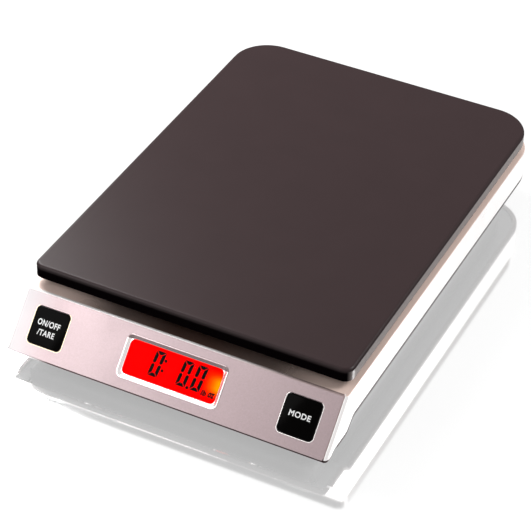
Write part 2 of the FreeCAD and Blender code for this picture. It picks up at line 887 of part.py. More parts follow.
def base_rim_band(low_rise, high_rise):
    """Band that follows the housing's lower edge in the side view, between two rises."""
    far = rear_y + overrun
    near_front = front_y - overrun
    upper = side_lines([(far, skirt_height + high_rise), (step_rear_y, skirt_height + high_rise)])
    upper += side_step(high_rise)
    upper += side_lines([(step_front_y, chin_height + high_rise), (near_front, chin_height + high_rise),
                         (near_front, chin_height + low_rise), (step_front_y, chin_height + low_rise)])
    lower = side_step(low_rise)
    lower.reverse()
    upper += lower
    upper += side_lines([(step_rear_y, skirt_height + low_rise), (far, skirt_height + low_rise),
                         (far, skirt_height + high_rise)])
    return across(Part.__sortEdges__(upper), housing_half)


def base_outer():
    """Tray and rim before the hollow is cut."""
    fit = housing_wall + base_fit
    room = housing_form(fit, overrun + chin_height)
    rim = base_rim_band(base_recess, base_recess + base_rim_thickness).common(room)
    tray = belly(0, base_floor_height, False)
    low_edges = edges_where(tray, lambda p: near(p.z, base_floor_height))
    tray = tray.makeFillet(belly_edge_radius, low_edges)
    under = base_rim_band(-chin_height - overrun, base_recess + base_rim_thickness)
    tray = tray.common(under).common(room_below_chin(room))
    return fuse_all([tray, rim])


def room_below_chin(room):
    """Housing's inner room, opened below the chin where the tray's nose stands free."""
    low = (-housing_half, front_y - overrun, -overrun)
    high = (housing_half, rear_y + overrun, chin_height)
    return room.fuse(block(low, high))


def nose_relief():
    """Room cut from the tray's front rim for the display and the buttons."""
    half = button_x + button_width / 2 + button_flange_margin + 2 * panel_fit
    depth = housing_wall + button_flange_gap + button_flange + button_travel + panel_fit
    slant = depth / math.sin(panel_angle)
    rim_top = chin_height + base_recess + base_rim_thickness
    rear = front_y + slant + (rim_top - chin_height) * panel_run / panel_drop
    return block((-half, front_y, belly_front_top), (half, rear, rim_top + overrun))


def holder_relief():
    """Pocket in the tray's nose round the display holder."""
    side = 2 * (holder_gap + holder_wall + panel_fit)
    return on_panel(display_slab(glass_width + side, glass_height + side, holder_wall,
                                 -board_depth - panel_fit, glass_face + panel_fit))


def base_bosses():
    """Bosses of the tray that meet the housing's bosses."""
    for x in (-base_screw_x, base_screw_x):
        for y in base_screw_ys:
            yield post(base_boss_radius, base_floor_height, base_boss_top, x, y)


def base_screw_holes():
    """Counterbores from below and the clearance holes above them."""
    for x in (-base_screw_x, base_screw_x):
        for y in base_screw_ys:
            yield post(screw_head_radius + panel_fit, base_floor_height - overrun,
                       base_floor_height + base_counterbore_height, x, y)
            yield post(screw_shank_radius + running_gap, base_floor_height, base_boss_top + overrun, x, y)


def foot_places():
    return [(x, y) for x in (-foot_x, foot_x) for y in (-foot_y, foot_y)]


def base_ribs():
    """Low ribs across the tray's floor."""
    half = base_rib_thickness / 2
    reach = belly_half - base_wall
    for y in base_rib_ys:
        yield block((-reach, y - half, base_floor_height + base_wall / 2),
                    (reach, y + half, base_top_of_floor + base_rib_height))


def bay_walls():
    """Battery bay: a box on the floor, open downward."""
    outer = block((-bay_half_length - bay_wall, bay_centre_y - bay_half_width - bay_wall, base_floor_height),
                  (bay_half_length + bay_wall, bay_centre_y + bay_half_width + bay_wall, bay_roof + bay_wall))
    return outer


def door_bed():
    """Thicker floor round the bay that the door is let into."""
    margin = bay_wall + door_margin
    return block((-door_half_length - margin, door_front_y - tongue_reach - margin, base_floor_height),
                 (door_half_length + margin, door_rear_y + margin, door_bed_top))


def bay_hollow():
    """Space for the two cells, from below."""
    return block((-bay_half_length, bay_centre_y - bay_half_width, base_floor_height - overrun),
                 (bay_half_length, bay_centre_y + bay_half_width, bay_roof))


def door_seat_tool():
    """Recess in the bed that the door lies in."""
    gap = door_gap
    return block((-door_half_length - gap, door_front_y - gap, base_floor_height - overrun),
                 (door_half_length + gap, door_rear_y + gap, door_seat))


def tongue_windows():
    """Windows through the bed for the door's tongues."""
    for x in tongue_xs:
        half = tongue_width / 2 + tongue_window_gap
        yield block((x - half, door_front_y - tongue_reach - 2 * tongue_window_gap, door_high),
                    (x + half, door_front_y + door_margin + overrun, door_bed_top + overrun))


def latch_window():
    """Notch in the bed's ledge for the door's latch."""
    half = latch_width / 2 + door_gap
    y = door_rear_y - latch_thickness
    return block((-half, y - 2 * door_gap, door_high), (half, door_rear_y + door_gap, door_bed_top + overrun))


def cradles():
    """Cradle ribs on the bay's roof that keep the two cells apart."""
    for share in (-1, 1):
        x = share * bay_half_length / 2
        rib = block((x - cradle_thickness / 2, bay_centre_y - bay_half_width, bay_roof - cradle_height),
                    (x + cradle_thickness / 2, bay_centre_y + bay_half_width, bay_roof + bay_wall / 2))
        cells = [battery_tool(y) for y in battery_ys()]
        yield cut_all(rib, cells)


def battery_ys():
    return (bay_centre_y - cell_pitch / 2, bay_centre_y + cell_pitch / 2)


def battery_tool(y):
    """Clearance round one cell."""
    return Part.makeCylinder(cell_body_radius + panel_fit, 2 * bay_half_length,
                             Vector(-bay_half_length, y, cell_axis_height), Vector(1, 0, 0))


def contact_slots():
    """Slots in the bay's roof for the contacts' solder tabs."""
    for y in battery_ys():
        low = (-bay_half_length, y - contact_width / 4 - running_gap, bay_roof - overrun)
        yield block(low, (-bay_half_length + contact_thickness + 2 * running_gap,
                          y + contact_width / 4 + running_gap, bay_roof + bay_wall + overrun))


def base_shell():
    body = base_outer().cut(belly(base_wall, base_top_of_floor, True))
    adds = list(base_bosses())
    adds += list(base_ribs())
    pad_radius = foot_radius + foot_pocket_gap + foot_pad_margin
    pad_top = base_top_of_floor + foot_pocket_depth
    adds += [post(pad_radius, base_floor_height + base_wall / 2, pad_top, x, y) for x, y in foot_places()]
    plinth = slab(base_plate_width, base_plate_length, base_plate_radius,
                  base_floor_height + base_wall / 2, plinth_top, 0, base_plate_middle_y)
    adds += [plinth, bay_walls(), door_bed()]
    body = fuse_all([body] + adds)
    cuts = list(base_screw_holes())
    pocket = foot_radius + foot_pocket_gap
    cuts += [post(pocket, base_floor_height - overrun, base_floor_height + foot_pocket_depth, x, y)
             for x, y in foot_places()]
    seat = (base_floor_height + plinth_top) / 2
    for y in fixed_screw_ys:
        cuts.append(post(m4_head_radius + panel_fit, base_floor_height - overrun, seat, 0, y))
        cuts.append(post(cell_screw_radius + running_gap, base_floor_height, plinth_top + overrun, 0, y))
    cuts += [door_seat_tool(), bay_hollow(), latch_window(), nose_relief(), holder_relief()]
    cuts += list(tongue_windows())
    cuts += list(contact_slots())
    body = cut_all(body, cuts)
    return fuse_all([body] + list(cradles()))


def base_screws():
    seat = base_floor_height + base_counterbore_height
    length = base_boss_top + screw_bite + screw_bite / 2 - seat
    return Part.makeCompound([
        screw(screw_shank_radius, length, screw_head_radius, screw_head_height, x, y, seat, True)
        for x in (-base_screw_x, base_screw_x) for y in base_screw_ys])


def foot(x, y):
    """Turned rubber foot with a rounded lower edge."""
    top = base_floor_height + foot_pocket_depth
    low_radius = foot_radius - foot_taper
    bevel = foot_edge_radius
    points = [
        Vector(0, 0, 0), Vector(low_radius - bevel, 0, 0), Vector(low_radius, 0, bevel),
        Vector(foot_radius, 0, base_floor_height - bevel), Vector(foot_radius, 0, top),
        Vector(0, 0, top), Vector(0, 0, 0)]
    face = Part.Face(Part.makePolygon(points))
    body = face.revolve(Vector(0, 0, 0), Vector(0, 0, 1), 360)
    return moved(body, x, y, 0)


# Battery door and what lies behind it

def battery_door():
    half = door_half_length
    z_middle = door_low + door_pivot_radius
    plate = block((-half, door_pivot.y, door_low), (half, door_rear_y, door_high))
    corners = edges_where(plate, lambda p: near(p.y, door_rear_y) and near(abs(p.x), half))
    plate = plate.makeFillet(door_corner_radius, corners)
    nose_start = Vector(-half, door_pivot.y, z_middle)
    nose = Part.makeCylinder(door_pivot_radius, 2 * half, nose_start, Vector(1, 0, 0))
    parts = [plate, nose]
    low_z = door_high + tongue_lift
    for x in tongue_xs:
        side = tongue_width / 2
        parts.append(block((x - side, door_pivot.y, door_low + door_pivot_radius),
                           (x + side, door_pivot.y + tongue_thickness, low_z + tongue_thickness)))
        parts.append(block((x - side, door_front_y - tongue_reach, low_z),
                           (x + side, door_pivot.y + tongue_thickness, low_z + tongue_thickness)))
    y = door_rear_y - latch_thickness
    parts.append(block((-latch_width / 2, y, z_middle),
                       (latch_width / 2, door_rear_y - door_gap, door_low + latch_height)))
    body = fuse_all(parts)
    grooves = []
    for index in range(grip_rib_count):
        groove_y = door_rear_y - (index + 2) * grip_rib_pitch
        grooves.append(slab(grip_rib_width, grip_rib_thickness, grip_rib_height,
                            door_low - overrun, door_low + grip_rib_height, 0, groove_y))
    return cut_all(body, grooves)


def battery(y, towards):
    """Cylinder cell with its raised contact towards -X or +X."""
    body = Part.makeCylinder(cell_body_radius, cell_body_length, Vector(0, 0, 0), Vector(1, 0, 0))
    body = body.makeFillet(cell_edge_radius, body.Edges)
    nub = Part.makeCylinder(cell_nub_radius, cell_nub_length + cell_edge_radius,
                            Vector(cell_body_length - cell_edge_radius, 0, 0), Vector(1, 0, 0))
    cell = body.fuse(nub)
    end = bay_half_length - contact_thickness
    start = end - cell_body_length - cell_nub_length
    cell = moved(cell, start, 0, 0)
    if towards < 0:
        cell.rotate(Vector(0, 0, 0), Vector(0, 0, 1), 180)
    return moved(cell, 0, y, cell_axis_height)


def battery_front():
    return battery(battery_ys()[0], 1)


def battery_rear():
    return battery(battery_ys()[1], -1)


def battery_contact_plates():
    """Two end plates with solder tabs, and the plate that joins the cells at the other end."""
    low_z = cell_axis_height - contact_width / 2
    high_z = cell_axis_height + contact_width / 2
    plates = []
    x = -bay_half_length
    for y in battery_ys():
        plate = block((x, y - contact_width / 2, low_z),
                      (x + contact_thickness, y + contact_width / 2, high_z))
        tab_top = bay_roof + bay_wall + contact_tab_rise
        tab = block((x, y - contact_width / 4, low_z),
                    (x + contact_thickness, y + contact_width / 4, tab_top))
        plates.append(plate.fuse(tab).removeSplitter())
    x = bay_half_length - contact_thickness
    first, last = battery_ys()
    plates.append(block((x, first - contact_width / 2, low_z),
                        (x + contact_thickness, last + contact_width / 2, high_z)))
    return Part.makeCompound(plates)


def arc_from(start, tangent, end):
    """Arc that leaves its start along a tangent and reaches its end."""
    chord = end - start
    along = Vector(chord).normalize()
    half_angle = tangent.getAngle(along) / 2
    aside = tangent - along * tangent.dot(along)
    aside.normalize()
    middle = start + chord / 2 + aside * (chord.Length / 2 * math.tan(half_angle))
    return Part.Arc(start, middle, end).toShape()


def biarc(start, start_tangent, end, end_tangent):
    """Two arcs that join two places and keep both tangents."""
    chord = end - start
    both = start_tangent + end_tangent
    bend = 2 * (1 - start_tangent.dot(end_tangent))
    reach = (math.sqrt(chord.dot(both) ** 2 + bend * chord.dot(chord)) - chord.dot(both)) / bend
    joint = (start + end + (start_tangent - end_tangent) * reach) / 2
    back = arc_from(end, end_tangent * -1, joint)
    return [arc_from(start, start_tangent, joint), back]


def spring_path(length):
    """Conical helix about X as quarter turns of two arcs each."""
    def place(turn):
        radius = spring_large_radius + (spring_small_radius - spring_large_radius) * turn / spring_turns
        angle = 2 * math.pi * turn
        return Vector(length * turn / spring_turns, radius * math.cos(angle), radius * math.sin(angle))

    def tangent(turn):
        share = 1 / (360 * spring_turns)
        return (place(turn + share) - place(turn - share)).normalize()

    edges = []
    for quarter in range(4 * spring_turns):
        first = quarter / 4
        last = (quarter + 1) / 4
        edges += biarc(place(first), tangent(first), place(last), tangent(last))
    return Part.Wire(Part.__sortEdges__(edges)), place(0), tangent(0)


def contact_spring(length):
    """Conical wire spring, from its plate toward the cell."""
    path, start, direction = spring_path(length)
    ring = Part.Wire(Part.Circle(start, direction, spring_wire_radius).toShape())
    return path.makePipeShell([ring], True, False)


def battery_contact_springs():
    length = spring_room - 2 * spring_wire_radius
    springs = []
    for y, side in zip(battery_ys(), (-1, 1)):
        spring = moved(contact_spring(length), 0, 0, 0)
        if side > 0:
            spring.rotate(Vector(0, 0, 0), Vector(0, 0, 1), 180)
        x = side * (bay_half_length - contact_thickness - spring_wire_radius)
        springs.append(moved(spring, x, y, cell_axis_height))
    return Part.makeCompound(springs)


# Display stack, in the panel's plane

def display_slab(width, height, radius, low_n, high_n, shift_v=0):
    """Slab centred on the display's window."""
    return slab(width, height, radius, low_n, high_n, 0, display_centre_v + shift_v)


def lcd_bezel():
    """Bevelled frame with a rounded bead that lies on the fascia."""
    under = 2 * bezel_overlap
    body = display_slab(bezel_width - under, bezel_height - under, bezel_radius - bezel_overlap,
                        -bezel_depth, fascia_top)
    bead = display_slab(bezel_width, bezel_height, bezel_radius, fascia_top, bezel_rise)
    bead = bead.makeFillet(bezel_bead / 2, edges_where(bead, lambda p: near(p.z, bezel_rise)))
    body = fuse_all([body, bead])
    inner = bezel_inner_radius
    mouth_half = bezel_height / 2 - bezel_rim
    mouth_radius = bezel_radius - bezel_rim
    mouth = rounded_wire(bezel_width / 2 - bezel_rim, -mouth_half, mouth_half,
                         mouth_radius, mouth_radius, bezel_rise)
    throat = rounded_wire(display_width / 2, -display_height / 2, display_height / 2,
                          inner, inner, -bezel_bevel_depth)
    funnel = Part.makeLoft([mouth, throat], True, True)
    cuts = [moved(funnel, 0, display_centre_v, 0)]
    cuts.append(display_slab(display_width, display_height, inner,
                             -bezel_depth - overrun, -bezel_bevel_depth))
    cuts.append(display_slab(display_width + 2 * window_margin, display_height + 2 * window_margin, inner,
                             -bezel_depth - overrun, -bezel_bevel_depth - bezel_lip))
    return on_panel(cut_all(body, cuts))


def lcd_window():
    size = 2 * window_margin - panel_fit
    top = -bezel_bevel_depth - bezel_lip
    return on_panel(display_slab(display_width + size, display_height + size, bezel_inner_radius,
                                 top - window_thickness, top))


def lcd_glass():
    rear = display_slab(glass_width, glass_height, cell_edge_chamfer, glass_back, glass_face - glass_sheet)
    front = display_slab(glass_width, glass_height - glass_contact_ledge, cell_edge_chamfer,
                         glass_face - glass_sheet, glass_face, glass_contact_ledge / 2)
    return on_panel(fuse_all([rear, front]))


def light_guide_shift():
    return (glass_height - light_guide_height) / 2


def lcd_backlight():
    guide = display_slab(light_guide_width, light_guide_height, cell_edge_chamfer,
                         glass_back - light_guide_thickness, glass_back, light_guide_shift())
    lamp = moved(slab(lamp_length, lamp_width, cell_edge_chamfer, glass_back - light_guide_thickness,
                      glass_back - light_guide_thickness / 4),
                 light_guide_width / 2 - lamp_length / 4, display_centre_v + light_guide_shift(), 0)
    return on_panel(guide.fuse(lamp).removeSplitter())


def lcd_holder():
    width = glass_width + 2 * (holder_gap + holder_wall)
    height = glass_height + 2 * (holder_gap + holder_wall)
    body = display_slab(width, height, holder_wall, -board_depth, glass_face)
    hollow = display_slab(glass_width + 2 * holder_gap, glass_height + 2 * holder_gap, cell_edge_chamfer,
                          -board_depth - overrun, glass_face + overrun)
    return on_panel(body.cut(hollow))


def lcd_connector_strip():
    low_v = display_centre_v - glass_height / 2 + holder_gap
    body = block((-display_width / 2, low_v, -board_depth),
                 (display_width / 2, low_v + strip_width, glass_back))
    return on_panel(body)


# Circuit board, in the panel's plane

def circuit_board():
    middle = (board_low_v + board_high_v) / 2
    body = slab(2 * board_half_width, board_high_v - board_low_v, board_corner_radius,
                -board_depth - board_thickness, -board_depth, 0, middle)
    radius = screw_shank_radius + running_gap
    holes = [post(radius, -board_depth - board_thickness - overrun, overrun - board_depth, x, v)
             for x in board_screw_xs for v in board_screw_vs]
    return on_panel(cut_all(body, holes))


def circuit_board_screws():
    seat = -board_depth - board_thickness
    length = board_thickness + screw_bite - overrun
    return Part.makeCompound([
        on_panel(screw(screw_shank_radius, length, screw_head_radius - panel_fit, screw_head_height,
                       x, v, seat, True))
        for x in board_screw_xs for v in board_screw_vs])


def controller_chip():
    back = -board_depth - board_thickness
    chip = slab(chip_side, chip_side, cell_edge_chamfer, back - chip_thickness, back, chip_x, panel_centre_v)
    return on_panel(chip)


def board_components():
    back = -board_depth - board_thickness
    parts = [slab(small_chip_length, small_chip_width, cell_edge_chamfer, back - small_chip_thickness, back,
                  x, panel_centre_v) for x in small_chip_xs]
    parts += [slab(connector_length, connector_width, cell_edge_chamfer, back - connector_thickness, back,
                   x, connector_v) for x in (load_connector_x, battery_connector_x)]
    return Part.makeCompound([on_panel(part) for part in parts])


def tact_switch_bodies():
    bodies = []
    for x in (-button_x, button_x):
        frame_top = switch_top - switch_pad_height
        body = slab(switch_side, switch_side, cell_edge_chamfer, -board_depth, frame_top, x, panel_centre_v)
        collar = post(plunger_radius + switch_pad_height, -board_depth, switch_top, x, panel_centre_v)
        body = body.fuse(collar)
        well_low = switch_top - plunger_depth - button_travel
        well = post(plunger_radius + running_gap, well_low, switch_top + overrun, x, panel_centre_v)
        bodies.append(on_panel(body.cut(well).removeSplitter()))
    return Part.makeCompound(bodies)


def plunger(x):
    """Plunger of a switch, under the button's stem."""
    return on_panel(post(plunger_radius, switch_top - plunger_depth, plunger_top, x, panel_centre_v))


# Buttons, in the panel's plane

def button(x):
    """Nearly square cap with a domed face, a retaining flange and a stem to its switch."""
    face_n = fascia_top + button_rise
    flange_top = -housing_wall - button_flange_gap
    flange_low = flange_top - button_flange
    cap = slab(button_width, button_height, button_radius, flange_low, face_n)
    dome_radius = ((button_height / 2) ** 2 + button_dome ** 2) / (2 * button_dome)
    ball = Part.makeSphere(dome_radius, Vector(0, 0, face_n - dome_radius))
    cap = cap.common(ball)
    rim = edges_where(cap, lambda p: p.z > 0)
    cap = cap.makeFillet(button_edge_radius, rim)
    grown = 2 * button_flange_margin
    flange = slab(button_width + grown, button_height + grown, button_radius + button_flange_margin,
                  flange_low, flange_top)
    wall = 2 * button_cap_wall
    hollow = slab(button_width - wall, button_height - wall, button_radius - button_cap_wall,
                  flange_low - overrun, face_n - button_cap_wall - button_dome)
    body = fuse_all([cap, flange]).cut(hollow)
    body = fuse_all([body, post(stem_radius, plunger_top, face_n - button_cap_wall)])
    return on_panel(moved(body, x, panel_centre_v, 0))


# Leads

def lead_route(start, start_steps, end_x, end_steps):
    """Corners of a lead from its start to the middle of its connector's end."""
    end_n = -board_depth - board_thickness - connector_thickness / 2
    end = panel_place.multVec(Vector(end_x, connector_v, end_n))
    return [start + Vector(*step) for step in start_steps] + [end + Vector(*step) for step in end_steps]


def load_lead_route():
    """From the side of the bar, over its bores, to the board."""
    start = Vector(-cell_side / 2, platform_middle_y, (cell_low + cell_high) / 2)
    end_x = load_connector_x - connector_length / 2
    return lead_route(start, load_lead_start_steps, end_x, load_lead_end_steps)


def battery_lead_route():
    """From the front contact's solder tab to the board."""
    tab_top = bay_roof + bay_wall + contact_tab_rise
    start = Vector(-bay_half_length, battery_ys()[0] - contact_width / 8,
                   tab_top - lead_radius + panel_fit / 2)
    end_x = battery_connector_x + connector_length / 2
    return lead_route(start, battery_lead_start_steps, end_x, battery_lead_end_steps)


def lead(name, corners, radius):
    """Tube of straight runs joined by tangent arcs as large as the runs allow."""
    edges = []
    start = corners[0]
    least = None
    for before, corner, after in zip(corners, corners[1:], corners[2:]):
        incoming = (corner - before).normalize()
        outgoing = (after - corner).normalize()
        turn = incoming.getAngle(outgoing)
        reach = arc_share * min((corner - before).Length, (after - corner).Length)
        bend = reach / math.tan(turn / 2)
        least = bend if least is None else min(least, bend)
        enter = corner - incoming * reach
        leave = corner + outgoing * reach
        edges.append(Part.makeLine(start, enter))
        edges.append(arc_from(enter, incoming, leave))
        start = leave
    edges.append(Part.makeLine(start, corners[-1]))
    path = Part.Wire(edges)
    ring = Part.Wire(Part.Circle(corners[0], corners[1] - corners[0], radius).toShape())
    tube = path.makePipeShell([ring], True, False)
    print(name, "length", round(path.Length, 1), "least radius", round(least, 1))
    return tube


def build():
    """Every sub-part under its node name."""
    parts = {
        "platform_cover": platform_cover(),
        "platform_carrier": platform_carrier(),
        "platform_screws": platform_screws(),
        "load_cell": load_cell(),
        "strain_gauges": strain_gauges(),
        "load_cell_upper_spacer": load_cell_upper_spacer(),
        "load_cell_lower_spacer": load_cell_lower_spacer(),
        "load_cell_upper_screws": load_cell_upper_screws(),
        "load_cell_lower_screws": load_cell_lower_screws(),
        "base_reinforcing_plate": base_reinforcing_plate(),
        "overload_stop_screw": overload_stop_screw(),
        "top_housing": top_housing(),
        "control_panel_fascia": control_panel_fascia(),
        "lcd_bezel": lcd_bezel(),
        "lcd_window": lcd_window(),
        "lcd_glass": lcd_glass(),
        "lcd_backlight": lcd_backlight(),
        "lcd_holder": lcd_holder(),
        "lcd_connector_strip": lcd_connector_strip(),
        "circuit_board": circuit_board(),
        "circuit_board_screws": circuit_board_screws(),
        "controller_chip": controller_chip(),
        "board_components": board_components(),
        "tact_switch_bodies": tact_switch_bodies(),
        "on_off_tare_button": button(-button_x),
        "on_off_tare_plunger": plunger(-button_x),
        "mode_button": button(button_x),
        "mode_plunger": plunger(button_x),
        "base_shell": base_shell(),
        "base_screws": base_screws(),
        "battery_door": battery_door(),
        "battery_front": battery_front(),
        "battery_rear": battery_rear(),
        "battery_contact_plates": battery_contact_plates(),
        "battery_contact_springs": battery_contact_springs(),
        "load_cell_lead": lead("load_cell_lead", load_lead_route(), lead_radius),
        "battery_lead": lead("battery_lead", battery_lead_route(), lead_radius),
    }
    for x, y in foot_places():
        end = "front" if y < 0 else "rear"
        side = "left" if x < 0 else "right"
        parts["foot_" + end + "_" + side] = foot(x, y)
    return parts


os.makedirs("parts", exist_ok=True)
for node, shape in build().items():
    shape.exportStep("parts/" + node + ".step")
    print(node, len(shape.Solids), "solids", round(shape.Volume, 1), shape.isValid())
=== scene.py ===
"""Looks of a digital kitchen scale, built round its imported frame.

Metres, +Z up, +Y to the back, the sloped control panel faces -Y. Sizes in the dataclasses are in
millimetres where their name says so, because that is how such a product is drawn.
"""

from __future__ import annotations

import json
import logging
import math
from dataclasses import dataclass
from enum import Enum
from typing import Any, ClassVar, Iterable, Mapping, Sequence, Union

import bmesh
import bpy
from bmesh.types import BMesh
from bpy.types import Material, Object
from mathutils import Matrix, Vector
from mathutils.bvhtree import BVHTree

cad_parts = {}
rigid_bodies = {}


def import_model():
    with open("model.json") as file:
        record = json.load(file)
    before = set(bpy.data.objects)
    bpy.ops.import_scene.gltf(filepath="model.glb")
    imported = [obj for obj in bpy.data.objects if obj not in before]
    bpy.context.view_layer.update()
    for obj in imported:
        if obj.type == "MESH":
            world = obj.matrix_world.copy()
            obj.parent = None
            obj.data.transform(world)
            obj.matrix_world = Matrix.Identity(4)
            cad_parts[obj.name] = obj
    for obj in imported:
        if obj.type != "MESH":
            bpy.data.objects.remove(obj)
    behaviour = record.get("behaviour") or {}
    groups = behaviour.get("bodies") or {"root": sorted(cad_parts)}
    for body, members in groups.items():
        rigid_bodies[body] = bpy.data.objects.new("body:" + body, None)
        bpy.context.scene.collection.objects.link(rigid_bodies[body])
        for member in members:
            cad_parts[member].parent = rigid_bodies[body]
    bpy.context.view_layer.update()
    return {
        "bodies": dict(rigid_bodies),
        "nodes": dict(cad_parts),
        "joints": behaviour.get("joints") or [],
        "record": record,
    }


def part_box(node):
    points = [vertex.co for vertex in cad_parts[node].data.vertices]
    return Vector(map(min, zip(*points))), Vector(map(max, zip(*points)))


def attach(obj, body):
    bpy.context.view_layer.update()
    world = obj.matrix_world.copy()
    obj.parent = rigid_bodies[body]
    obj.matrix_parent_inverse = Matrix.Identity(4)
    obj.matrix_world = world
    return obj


LOG = logging.getLogger("kitchen_scale")
MM = 0.001
ACROSS = Vector((1.0, 0.0, 0.0))
UPRIGHT = Vector((0.0, 0.0, 1.0))
BLACK = (0.0, 0.0, 0.0)
LETTER_STEPS = 6
LETTER_SPACING = 1.12
CORNER_STEPS = 8
WELD = 1e-5
Colour = tuple[float, float, float]
Pair = tuple[float, float]


def srgb(red: int, green: int, blue: int) -> Colour:
    """Linear colour from the 0 to 255 values that a colour picker shows.

    Args:
        red: red value, 0 to 255.
        green: green value, 0 to 255.
        blue: blue value, 0 to 255.

    Returns:
        The three linear shares.
    """
    shares = (value / 255 for value in (red, green, blue))
    return tuple(s / 12.92 if s <= 0.04045 else ((s + 0.055) / 1.055) ** 2.4 for s in shares)


def metres(sizes: Iterable[float]) -> tuple[float, ...]:
    """Sizes in metres, from millimetres."""
    return tuple(size * MM for size in sizes)


def shades(colour: Colour, share: float) -> tuple[Colour, Colour]:
    """A colour a share darker, and the same colour a share lighter."""
    return tuple(c * (1 - share) for c in colour), tuple(min(c * (1 + share), 1.0) for c in colour)


class Signal:
    """A value that varies over a surface: an output socket with arithmetic."""

    def __init__(self, graph: Graph, socket: bpy.types.NodeSocket) -> None:
        """Wraps one output socket of a graph."""
        self.graph = graph
        self.socket = socket

    def _math(self, operation: str, first: Value, second: Value) -> Signal:
        """Adds one Math node.

        Args:
            operation: Math operation name.
            first: first operand.
            second: second operand.

        Returns:
            The node's result.
        """
        return self.graph.node("ShaderNodeMath", {"operation": operation}, {0: first, 1: second})

    def __add__(self, other: Value) -> Signal:
        """Sum of two values."""
        return self._math("ADD", self, other)

    __radd__ = __add__

    def __sub__(self, other: Value) -> Signal:
        """Difference of two values."""
        return self._math("SUBTRACT", self, other)

    def __rsub__(self, other: Value) -> Signal:
        """Difference with the plain number first."""
        return self._math("SUBTRACT", other, self)

    def __mul__(self, other: Value) -> Signal:
        """Product of two values."""
        return self._math("MULTIPLY", self, other)

    __rmul__ = __mul__

    def __truediv__(self, other: Value) -> Signal:
        """Quotient of two values."""
        return self._math("DIVIDE", self, other)

    def __gt__(self, other: Value) -> Signal:
        """Mask that is 1 where this value is the greater."""
        return self._math("GREATER_THAN", self, other)

    def __lt__(self, other: Value) -> Signal:
        """Mask that is 1 where this value is the smaller."""
        return self._math("LESS_THAN", self, other)

    def __abs__(self) -> Signal:
        """Distance from zero."""
        return self._math("ABSOLUTE", self, 0.0)

    def larger(self, other: Value) -> Signal:
        """The larger of two values."""
        return self._math("MAXIMUM", self, other)

    def wrapped(self, period: float) -> Signal:
        """Position inside a repeating period, from 0 to the period."""
        return self.graph.node(
            "ShaderNodeMath", {"operation": "WRAP"}, {0: self, 1: period, 2: 0.0})

    def spread(self, low: float, high: float, to_low: float = 0.0, to_high: float = 1.0) -> Signal:
        """Stretches a range smoothly onto another and clamps it.

        Args:
            low: value that becomes to_low.
            high: value that becomes to_high.
            to_low: result at low.
            to_high: result at high.

        Returns:
            The stretched value.
        """
        return self.graph.node(
            "ShaderNodeMapRange", {"interpolation_type": "SMOOTHSTEP"},
            {"Value": self, "From Min": low, "From Max": high, "To Min": to_low, "To Max": to_high})


Value = Union[Signal, float, int]


